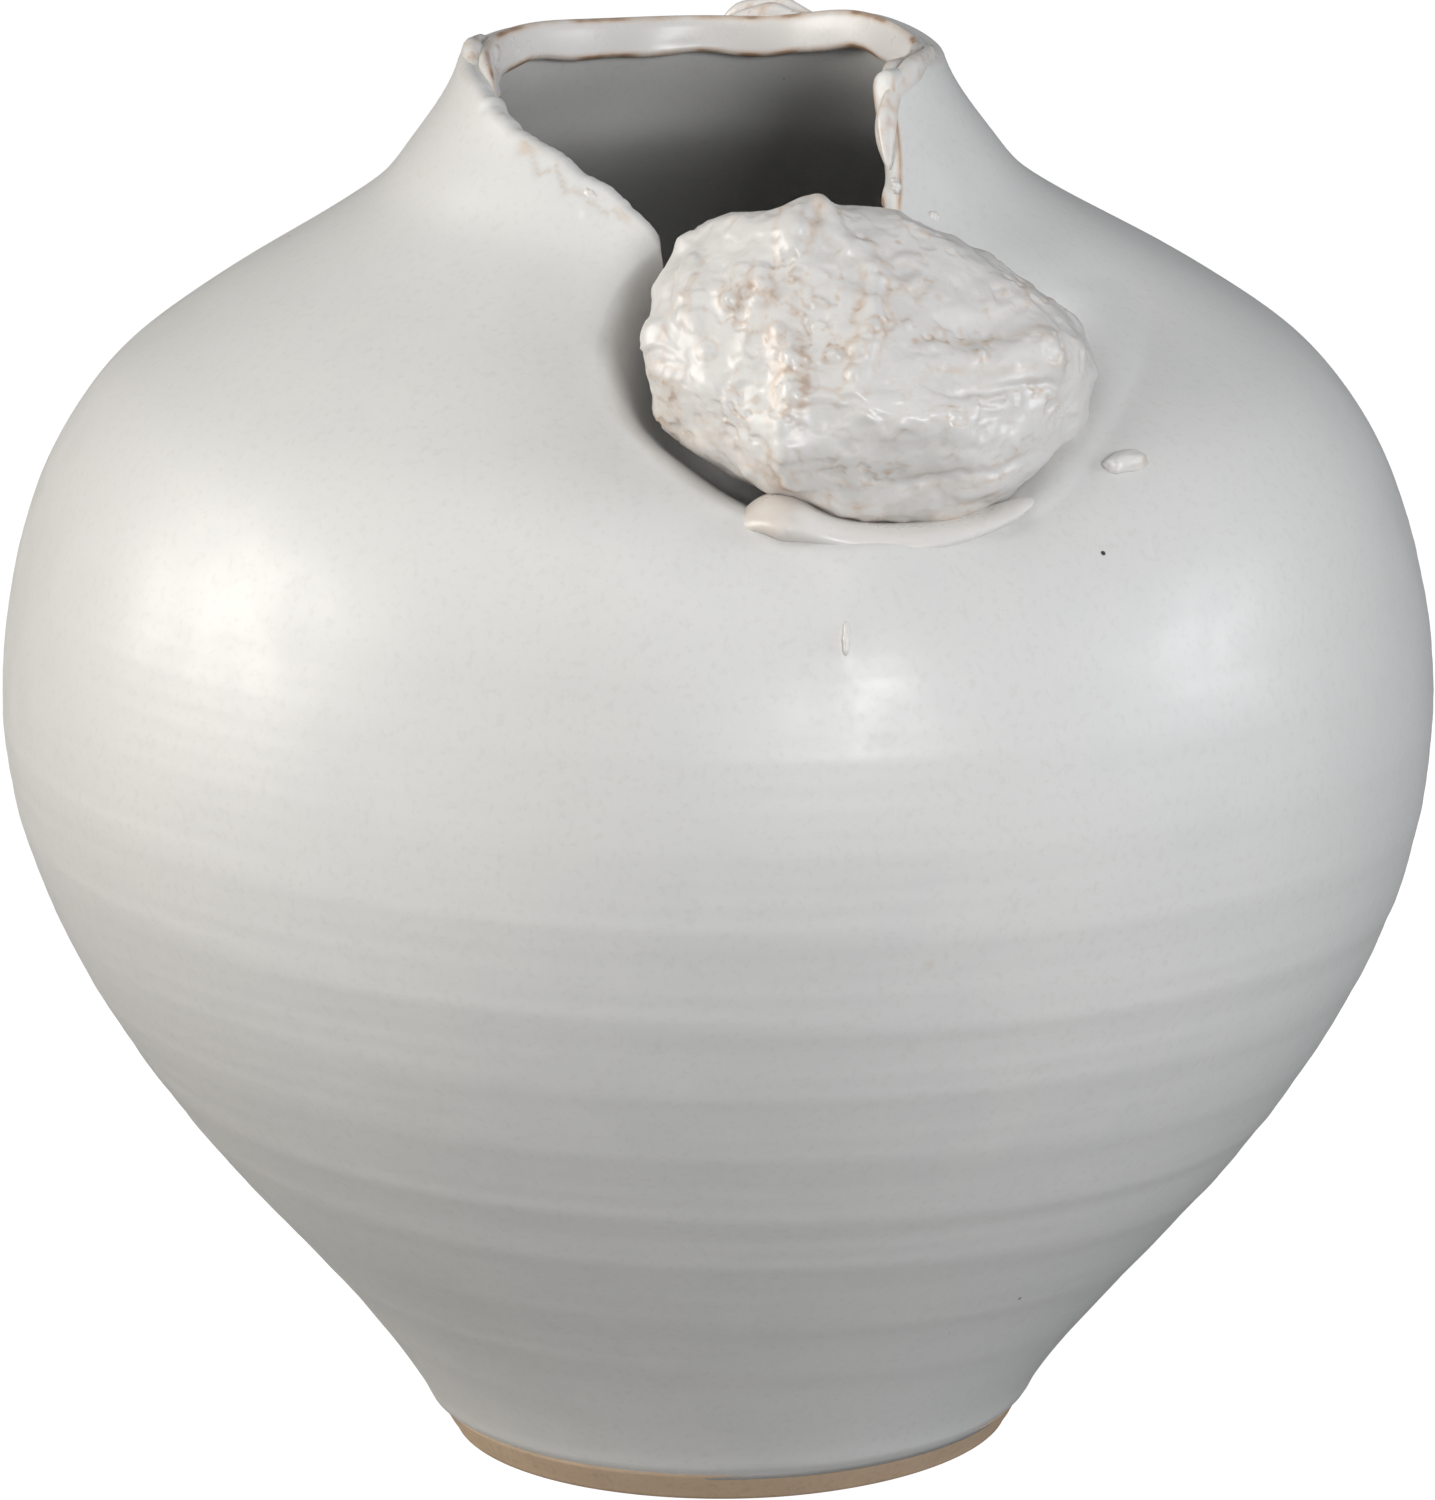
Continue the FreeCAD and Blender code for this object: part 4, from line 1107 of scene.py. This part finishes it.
    bed_line: tuple[Point, ...] = (
        (2.0, -112.0, 211.0), (7.5, -112.6, 214.8), (14.0, -112.4, 214.4), (22.0, -113.0, 211.8),
        (34.0, -112.4, 210.2), (45.0, -109.0, 211.0), (53.0, -106.4, 213.0), (60.0, -104.0, 215.6),
    )
    bed_half: float = 2.4
    bed_slims: float = 0.2
    bed_mound: Point = (1.7, -0.5, 0.3)
    bed_flat: float = 2.7
    bed_droop: float = 0.04

    def build(self) -> Pieces:
        """Build the stone and its bed."""
        return ((self.lump(), Slot.STONE, "stone"), (self.bed(), Slot.GLOSS, "stone_bed"))

    def body(self, way: np.ndarray) -> np.ndarray:
        """Place each direction of a ball on the rubbed, faceted stone.

        Args:
            way: directions of length 1.

        Returns:
            The places in mm.
        """
        table = np.array(self.shares)
        share = (way[:, 0] + 1.0) / 2.0
        low, high, near, far = (np.interp(share, table[:, 0], table[:, column]) for column in range(1, 5))
        ring = np.sqrt(np.maximum(1.0 - way[:, 0] ** 2, 1e-9))
        side = np.clip(ring / 0.35, 0.0, 1.0)
        across = self.left + self.length * share
        out = self.front + self.deep * ((near + far) / 2.0 + (far - near) / 2.0 * way[:, 1] / ring * side)
        up = self.bottom + self.tall * ((low + high) / 2.0 + (high - low) / 2.0 * way[:, 2] / ring * side)
        points = np.stack([across, out, up], -1)
        for place, direction in self.facets:
            facing = np.array(direction) / np.linalg.norm(direction)
            over = ((points - np.array(place)) @ facing) / self.facet_round
            points -= facing * (self.facet_round * np.logaddexp(0.0, over) * self.facet_cut)[:, None]
        return points

    def relief(self, points: np.ndarray, facing: np.ndarray) -> tuple[np.ndarray, np.ndarray]:
        """Lumps, pits, ridges and beads on the stone, and painted shade on its lower left.

        Args:
            points: places on the faceted stone in mm.
            facing: outward direction at each place.

        Returns:
            How far each place is lifted in mm, and how far the glaze breaks there, with painted shade added
            on the faces turned down and to the left.
        """
        broad, cells, grain = (noise_of(points, *kind) for kind in (self.broad, self.cells, self.grain))
        wrinkle = noise_of(points * np.array(self.wrinkle_way), *self.wrinkle)
        down, back = math.sin(self.look), math.cos(self.look)
        seen = np.stack([points[:, 0], points[:, 1] * down + points[:, 2] * back], -1)
        front = smooth_step(facing @ np.array((0.0, -back, down)), -0.05, 0.35)
        zone = 0.3 + 0.4 * smooth_step(broad, 0.0, 0.5)
        for across, high, wide, tall in self.pits:
            reach = ((seen[:, 0] - across) / wide) ** 2 + ((seen[:, 1] - high) / tall) ** 2
            zone = np.maximum(zone, np.exp(-(reach**2)) * front)
        lift = self.broad_lift * broad + self.wrinkle_lift * wrinkle + self.grain_lift * grain
        lift -= self.pit_depth * smooth_step(cells, 0.10, 0.28) * zone
        wear_and_shade = 0.6 * bell(cells - 0.12, 0.09) * zone + 0.16 * bell(wrinkle, 0.06)
        # Painted shade, with some scant glaze: faces turned down and to the left take the beige mix.
        wear_and_shade += 0.2 * smooth_step(-facing @ np.array(self.thin_and_shaded_side), -0.1, 0.7)
        wear_and_shade += 0.18 * smooth_step(broad, 0.1, 0.5) + 0.25 * smooth_step(grain, 0.2, 0.6) * zone
        bend = noise_of(points, *self.bend) * self.ridge_bend
        for height, width, line in self.ridges:
            gap, along = line_distance(seen + bend[:, None], line)
            ends = 0.3 + 0.7 * between(along, (0.0, 0.12), (0.88, 1.0))
            lift += self.ridge_gain * height * ends * bell(gap, 1.2 * width) * front
            wear_and_shade += 0.33 * bell(gap - 1.3 * width, 0.4 * width) * front * ends
        for across, high, size, height in self.beads:
            gap = np.hypot(seen[:, 0] - across, seen[:, 1] - high)
            lift += height * bell(gap, size) * front
            wear_and_shade += 0.35 * bell(gap - 1.5 * size, 0.4 * size) * front
        return lift, wear_and_shade

    def lump(self) -> bpy.types.Object:
        """Shape the stone from a ball.

        Returns:
            The stone.
        """
        bm = bmesh.new()
        bmesh.ops.create_icosphere(bm, subdivisions=self.detail, radius=1.0)
        way = np.array([vert.co for vert in bm.verts])
        way /= np.linalg.norm(way, axis=1)[:, None]
        points = self.body(way)
        place_verts(bm, points * MM)
        bm.normal_update()
        facing = np.array([vert.normal for vert in bm.verts])
        lift, wear_and_shade = self.relief(points, facing)
        place_verts(bm, (points + facing * lift[:, None]) * MM)
        piece = mesh_piece("stone_lump", bm)
        wear_and_shade_layer(piece.data, wear_and_shade)
        return piece

    def bed(self) -> bpy.types.Object:
        """Lay the roll of clay under the stone, with a mound at its left.

        Returns:
            The stone's bed.
        """
        track = even_path(self.bed_line, 90)
        share = np.linspace(-1.0, 1.0, len(track))
        tall, middle, width = self.bed_mound
        radii = self.bed_half - self.bed_slims * share + tall * bell(share - middle, width)
        radii = radii * np.sqrt(np.maximum(1.0 - share**2, 0.0)) + 0.02
        radii *= 1.0 + 0.05 * np.sin(9.0 * share)
        sections = roll_sections(track, radii, self.bed_flat, 32)
        middles = np.hypot(track[:, 0], track[:, 1])[:, None] * MM
        reach = np.hypot(sections[..., 0], sections[..., 1]) - middles
        sections[..., 2] -= self.bed_droop * reach
        wear_and_shade = 0.34 * (1.0 - smooth_step(sections[..., 0] / MM, 8.0, 26.0)) + 0.05
        return mesh_piece("stone_bed_roll", roll_mesh(sections, wear_and_shade))


@dataclass
class Foot(SubAssembly):
    """The unglazed foot ring, with a cover that runs up under the edge of the glaze."""

    outside: float = 56.5
    line: float = 59.3
    height: float = 5.5
    width: float = 11.5
    bevel: float = 0.9
    columns: int = 240
    sway: float = 0.12
    sway_below: float = 3.0
    cover_rows: tuple[int, int] = (6, 7)
    cover_proud: float = 0.1
    cover_sunk: float = -0.6

    def build(self) -> Pieces:
        """Turn the foot ring.

        Returns:
            The foot ring.
        """
        inner = self.outside - self.width
        corners = np.array((
            (inner + 0.8, 0.0), (self.outside - self.bevel, 0.0), (self.outside - 0.25, 0.25),
            (self.outside, self.bevel), (self.outside + 1.2, 2.6), (self.line, self.height), (self.line, 0.0),
            (self.line, -0.2), (self.line - 2.0, self.height), (inner - 1.5, self.height),
            (inner, self.bevel),
        ))
        grid = Grid(len(corners), self.columns, loop=True)
        turn = grid.turn
        radius, height = corners[grid.row].T
        radius = radius + self.sway * np.sin(5.0 * turn) * (height < self.sway_below)
        outer, under = (grid.row == row for row in self.cover_rows)
        lined = glaze_line(turn) + height
        wall = WALL.profile.at(lined) + np.where(outer, self.cover_proud, self.cover_sunk)
        radius, height = np.where(outer | under, wall, radius), np.where(outer | under, lined, height)
        across = radius * np.sin(turn) + WALL.shift(turn, height)
        points = np.stack([across, -radius * np.cos(turn), height], -1)
        piece = mesh_piece("foot_ring_turned", grid.moved(points * MM))
        return ((piece, Slot.CLAY, "foot_ring"),)


def feed(tree: bpy.types.NodeTree, node: bpy.types.Node, feeds: dict[str | int, object]) -> None:
    """Give inputs of a node their values, or link the outputs that feed them.

    Args:
        tree: the node's tree.
        node: the node.
        feeds: for each input a value, or the output that feeds it.
    """
    for name, value in feeds.items():
        if isinstance(value, bpy.types.NodeSocket):
            tree.links.new(value, node.inputs[name])
        else:
            node.inputs[name].default_value = value


def placed(tree: bpy.types.NodeTree, kind: str, feeds: dict[str | int, object],
           **settings: object) -> bpy.types.Node:
    """Put a node into a tree.

    Args:
        tree: the tree.
        kind: kind of node, without its leading ShaderNode.
        feeds: for each input a value, or the output that feeds it.
        settings: the node's own settings.

    Returns:
        The node.
    """
    node = tree.nodes.new(f"ShaderNode{kind}")
    for name, value in settings.items():
        setattr(node, name, value)
    feed(tree, node, feeds)
    return node


def sums(tree: bpy.types.NodeTree, operation: str, *terms: object) -> bpy.types.NodeSocket:
    """The result of a Math node on values or outputs."""
    return placed(tree, "Math", dict(enumerate(terms)), operation=operation).outputs[0]


def stepped(tree: bpy.types.NodeTree, value: bpy.types.NodeSocket, low: float, high: float,
            start: float = 0.0, end: float = 1.0) -> bpy.types.NodeSocket:
    """A smooth step of an output from low to high."""
    feeds = {"Value": value, "From Min": low, "From Max": high, "To Min": start, "To Max": end}
    return placed(tree, "MapRange", feeds, interpolation_type="SMOOTHSTEP").outputs[0]


def blended(tree: bpy.types.NodeTree, part: object, first: object, second: object) -> bpy.types.NodeSocket:
    """A mix of two colours."""
    return placed(tree, "Mix", {0: part, 6: first, 7: second}, data_type="RGBA").outputs[2]


@dataclass(frozen=True)
class Effect:
    """A shader effect that several finishes use, kept as a node group."""

    name: str
    takes: tuple[tuple[str, str, object], ...]
    gives: tuple[tuple[str, str], ...]

    def tree(self) -> tuple[bpy.types.NodeTree, dict[str, bpy.types.NodeSocket], bpy.types.Node]:
        """Make the group's tree.

        Returns:
            The tree, its inputs by name and its output node.
        """
        tree = bpy.data.node_groups.new(self.name, "ShaderNodeTree")
        for name, kind, value in self.takes:
            socket = tree.interface.new_socket(name=name, in_out="INPUT", socket_type=f"NodeSocket{kind}")
            if value is not None:
                socket.default_value = value
        for name, kind in self.gives:
            tree.interface.new_socket(name=name, in_out="OUTPUT", socket_type=f"NodeSocket{kind}")
        inner = tree.nodes.new("NodeGroupInput")
        outer = tree.nodes.new("NodeGroupOutput")
        return tree, {socket.name: socket for socket in inner.outputs}, outer


def mottle_effect() -> bpy.types.NodeTree:
    """Cloudy tone and fine peppering of a fired coat.

    Returns:
        The node group.
    """
    grey = (0.7, 0.7, 0.7, 1.0)
    tree, takes, gives = Effect("coat_mottle", (
        ("Vector", "Vector", None), ("Light", "Color", grey), ("Shade", "Color", grey),
        ("Pepper", "Color", grey), ("Pepper Share", "Float", 0.3),
    ), (("Color", "Color"), ("Height", "Float"))).tree()
    place = takes["Vector"]
    broad = placed(tree, "TexNoise", {"Vector": place, "Scale": 13.0, "Detail": 3.0}).outputs["Fac"]
    clouds = placed(tree, "TexNoise", {"Vector": place, "Scale": 85.0, "Detail": 4.0}).outputs["Fac"]
    grain = placed(tree, "TexNoise", {"Vector": place, "Scale": 620.0, "Detail": 3.0, "Roughness": 0.6})
    grain = grain.outputs["Fac"]
    tone = sums(tree, "ADD", sums(tree, "MULTIPLY", broad, 0.6), sums(tree, "MULTIPLY", clouds, 0.4))
    body = blended(tree, stepped(tree, tone, 0.36, 0.64), takes["Light"], takes["Shade"])
    dots = sums(tree, "MULTIPLY", stepped(tree, grain, 0.5, 0.72), takes["Pepper Share"])
    tree.links.new(blended(tree, dots, body, takes["Pepper"]), gives.inputs["Color"])
    height = sums(tree, "ADD", sums(tree, "MULTIPLY", grain, 0.35), clouds)
    tree.links.new(height, gives.inputs["Height"])
    return tree


def spots_effect() -> bpy.types.NodeTree:
    """Scattered iron spots that burnt through the glaze.

    Returns:
        The node group.
    """
    tree, takes, gives = Effect("iron_spots", (
        ("Vector", "Vector", None), ("Cells", "Float", 70.0), ("Share", "Float", 0.2),
        ("Size", "Float", 0.04),
    ), (("Mask", "Float"),)).tree()
    cells = placed(tree, "TexVoronoi", {"Vector": takes["Vector"], "Scale": takes["Cells"]})
    parts = placed(tree, "SeparateColor", {"Color": cells.outputs["Color"]})
    chosen = sums(tree, "LESS_THAN", parts.outputs[0], takes["Share"])
    size = sums(tree, "ADD", sums(tree, "MULTIPLY", parts.outputs[1], 0.9), 0.35)
    part = sums(tree, "DIVIDE", cells.outputs["Distance"], sums(tree, "MULTIPLY", takes["Size"], size))
    spot = stepped(tree, part, 1.15, 0.75)
    tree.links.new(sums(tree, "MULTIPLY", spot, chosen), gives.inputs["Mask"])
    return tree


def breaking_effect() -> bpy.types.NodeTree:
    """Where the glaze breaks and the clay shows through, uneven along an edge, and on the stone the painted
    shade that rides in the same value.

    Returns:
        The node group.
    """
    tree, takes, gives = Effect("breaking_glaze", (
        ("Vector", "Vector", None), ("Wear And Shade", "Float", 0.0), ("Uneven", "Float", 0.5),
    ), (("Mask", "Float"), ("Strong", "Float"))).tree()
    ragged = placed(tree, "TexNoise", {"Vector": takes["Vector"], "Scale": 240.0, "Detail": 4.0})
    ragged = sums(tree, "SUBTRACT", ragged.outputs["Fac"], 0.5)
    ragged = sums(tree, "MULTIPLY", ragged, takes["Uneven"])
    ragged = sums(tree, "MULTIPLY", ragged, stepped(tree, takes["Wear And Shade"], 0.0, 0.25))
    worn_and_shaded = sums(tree, "ADD", takes["Wear And Shade"], ragged)
    tree.links.new(stepped(tree, worn_and_shaded, 0.08, 0.85), gives.inputs["Mask"])
    tree.links.new(stepped(tree, worn_and_shaded, 0.62, 1.0), gives.inputs["Strong"])
    return tree


@dataclass(frozen=True)
class Finish:
    """A finish and how it is mixed."""

    name: str
    light: Point
    shade: Point
    pepper: Point
    thin_and_shaded: Point
    brown: Point
    roughness: Pair
    grain: float
    peppering: float
    spots: float
    uneven: float = 0.5
    iron: Point = (0.06, 0.045, 0.04)
    grain_height: float = 0.0004

    def material(self, effects: dict[str, bpy.types.NodeTree]) -> bpy.types.Material:
        """Mix the finish as a node material.

        Args:
            effects: the shared effects by name.

        Returns:
            The material.
        """
        material = bpy.data.materials.new(self.name)
        material.use_nodes = True
        tree = material.node_tree
        shader = tree.nodes["Principled BSDF"]
        place = {"Vector": placed(tree, "TexCoord", {}).outputs["Object"]}
        wear_and_shade = placed(tree, "Attribute", {}, attribute_name="wear_and_shade").outputs["Fac"]
        coat = placed(tree, "Group", {}, node_tree=effects["mottle"])
        spots = placed(tree, "Group", {}, node_tree=effects["spots"])
        worn_and_shaded = placed(tree, "Group", {}, node_tree=effects["breaking"])
        feed(tree, coat, place | {
            "Light": (*self.light, 1.0), "Shade": (*self.shade, 1.0), "Pepper": (*self.pepper, 1.0),
            "Pepper Share": self.peppering,
        })
        feed(tree, spots, place | {"Share": self.spots})
        feed(tree, worn_and_shaded, place | {"Wear And Shade": wear_and_shade, "Uneven": self.uneven})
        # Beige where the glaze breaks, which on the stone also paints shade on its lower left.
        colour = blended(tree, worn_and_shaded.outputs["Mask"], coat.outputs["Color"], (*self.thin_and_shaded, 1.0))
        colour = blended(tree, worn_and_shaded.outputs["Strong"], colour, (*self.brown, 1.0))
        colour = blended(tree, spots.outputs["Mask"], colour, (*self.iron, 1.0))
        gloss = stepped(tree, coat.outputs["Height"], 0.45, 0.85, *self.roughness)
        rough = sums(tree, "ADD", gloss, sums(tree, "MULTIPLY", worn_and_shaded.outputs["Strong"], 0.12))
        bump = placed(tree, "Bump", {
            "Height": coat.outputs["Height"], "Strength": self.grain, "Distance": self.grain_height,
        })
        feed(tree, shader, {"Base Color": colour, "Roughness": rough, "Normal": bump.outputs["Normal"]})
        return material


FINISHES = {
    Slot.SATIN: Finish(
        "satin_white_glaze", light=(0.735, 0.73, 0.715), shade=(0.702, 0.70, 0.692),
        pepper=(0.60, 0.585, 0.56), thin_and_shaded=(0.62, 0.51, 0.42), brown=(0.33, 0.21, 0.14),
        roughness=(0.32, 0.42), grain=0.12, peppering=0.28, spots=0.13,
    ),
    Slot.GLOSS: Finish(
        "gloss_white_glaze", light=(0.77, 0.75, 0.725), shade=(0.72, 0.70, 0.68), pepper=(0.66, 0.62, 0.58),
        thin_and_shaded=(0.63, 0.51, 0.42), brown=(0.33, 0.21, 0.14), roughness=(0.26, 0.34), grain=0.06, peppering=0.2,
        spots=0.05,
    ),
    # On the stone the beige mix for glaze breaks also paints shade on the faces turned down and to the left.
    Slot.STONE: Finish(
        "stone_glaze_coat", light=(0.76, 0.745, 0.72), shade=(0.71, 0.695, 0.68), pepper=(0.66, 0.60, 0.55),
        thin_and_shaded=(0.64, 0.55, 0.475), brown=(0.54, 0.435, 0.355), roughness=(0.27, 0.40), grain=0.12,
        peppering=0.35, spots=0.16,
    ),
    Slot.CLAY: Finish(
        "bare_fired_clay", light=(0.64, 0.48, 0.33), shade=(0.56, 0.41, 0.285), pepper=(0.38, 0.265, 0.18),
        thin_and_shaded=(0.36, 0.26, 0.18), brown=(0.22, 0.14, 0.09), roughness=(0.7, 0.85), grain=0.5, peppering=0.3,
        spots=0.12,
    ),
    Slot.SLIP: Finish(
        "fired_joining_slip", light=(0.52, 0.43, 0.34), shade=(0.45, 0.37, 0.29), pepper=(0.30, 0.22, 0.17),
        thin_and_shaded=(0.4, 0.3, 0.2), brown=(0.3, 0.2, 0.15), roughness=(0.75, 0.9), grain=0.5, peppering=0.4,
        spots=0.1,
    ),
}


@dataclass(frozen=True)
class Lamp:
    """A softbox that faces the jar, in degrees, metres and watts."""

    name: str
    azimuth: float
    elevation: float
    distance: float
    size: Pair
    power: float
    colour: Point

    def hang(self, aim: Vector) -> None:
        """Hang the lamp.

        Args:
            aim: the place that it faces, in metres.
        """
        data = bpy.data.lights.new(self.name, "AREA")
        data.shape = "RECTANGLE"
        data.size, data.size_y = self.size
        data.energy = self.power
        data.color = self.colour
        turn, rise = math.radians(self.azimuth), math.radians(self.elevation)
        way = Vector((math.sin(turn) * math.cos(rise), -math.cos(turn) * math.cos(rise), math.sin(rise)))
        light = bpy.data.objects.new(self.name, data)
        bpy.context.scene.collection.objects.link(light)
        facing = way.to_track_quat("Z", "Y").to_matrix().to_4x4()
        light.matrix_world = Matrix.Translation(aim + way * self.distance) @ facing


@dataclass
class Studio:
    """The camera, the lamps, the floor and the world."""

    distance: float = 2.0
    target_height: float = 0.14
    pitch: float = math.radians(15.0)
    roll: float = math.radians(0.65)
    lens: float = 239.11
    shift: Pair = (-0.001, -0.002)
    aim_height: float = 0.17
    lamps: tuple[Lamp, ...] = (
        Lamp("left_softbox", -84.0, 17.0, 1.3, (0.9, 0.7), 13.3, (1.0, 0.965, 0.90)),
        Lamp("front_softbox", 21.0, 16.5, 1.9, (0.62, 0.41), 15.6, (0.99, 0.995, 1.0)),
        Lamp("right_softbox", 80.0, 12.0, 1.5, (0.55, 0.45), 5.8, (0.925, 0.955, 1.0)),
        Lamp("top_softbox", -14.0, 56.0, 1.7, (1.3, 1.1), 6.6, (1.0, 0.985, 0.96)),
    )
    room_light: float = 0.12
    room_tint: Point = (0.905, 0.95, 1.0)
    floor_half: float = 6.0
    floor_grey: float = 0.3
    floor_glow: float = 0.94

    def build(self) -> None:
        """Set up the whole studio."""
        self.camera()
        for lamp in self.lamps:
            lamp.hang(Vector((0.0, 0.0, self.aim_height)))
        self.world()
        self.floor()

    def camera(self) -> None:
        """Stand the camera where the photograph was taken from."""
        data = bpy.data.cameras.new("camera")
        data.lens = self.lens
        data.sensor_width = 36.0
        data.shift_x, data.shift_y = self.shift
        data.clip_end = 30.0
        camera = bpy.data.objects.new("camera", data)
        bpy.context.scene.collection.objects.link(camera)
        back = Vector((0.0, -math.cos(self.pitch), math.sin(self.pitch))) * self.distance
        tilt = Matrix.Rotation(math.pi / 2 - self.pitch, 4, "X") @ Matrix.Rotation(-self.roll, 4, "Z")
        camera.matrix_world = Matrix.Translation(back + Vector((0, 0, self.target_height))) @ tilt
        bpy.context.scene.camera = camera

    def world(self) -> None:
        """Light the room softly and keep its walls white to the camera."""
        world = bpy.data.worlds.new("room")
        bpy.context.scene.world = world
        world.use_nodes = True
        tree = world.node_tree
        seen = placed(tree, "LightPath", {}).outputs["Is Camera Ray"]
        strength = placed(tree, "Mix", {0: seen, 2: self.room_light, 3: 1.0}).outputs[0]
        tint = blended(tree, seen, (*self.room_tint, 1.0), (1.0, 1.0, 1.0, 1.0))
        feed(tree, tree.nodes["Background"], {"Strength": strength, "Color": tint})

    def floor(self) -> None:
        """Lay the pale floor, which keeps the jar's shadow."""
        bm = bmesh.new()
        bmesh.ops.create_grid(bm, x_segments=8, y_segments=8, size=self.floor_half)
        floor = mesh_piece("floor", bm)
        material = bpy.data.materials.new("pale_floor")
        material.use_nodes = True
        tree = material.node_tree
        seen = placed(tree, "LightPath", {}).outputs["Is Camera Ray"]
        feed(tree, tree.nodes["Principled BSDF"], {
            "Base Color": (self.floor_grey, self.floor_grey, self.floor_grey, 1.0), "Roughness": 0.9,
            "Emission Color": (1.0, 1.0, 1.0, 1.0),
            "Emission Strength": sums(tree, "MULTIPLY", seen, self.floor_glow),
        })
        floor.data.materials.append(material)


def main() -> None:
    """Build the jar and its scene."""
    logging.basicConfig(level=logging.INFO)
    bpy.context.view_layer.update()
    effects = {"mottle": mottle_effect(), "spots": spots_effect(), "breaking": breaking_effect()}
    finishes = {slot: finish.material(effects) for slot, finish in FINISHES.items()}
    for part in (Bowls(), Rim(), Foot(), Stone(), GlazeBeads(), Crumb()):
        part.dress(finishes)
    for name in ("foot_slip", "belly_slip"):
        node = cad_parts[name]
        node.data.materials.clear()
        node.data.materials.append(finishes[Slot.SLIP])
    Studio().build()
    bpy.context.scene.view_settings.view_transform = "Standard"


if __name__ == "__main__":
    main()
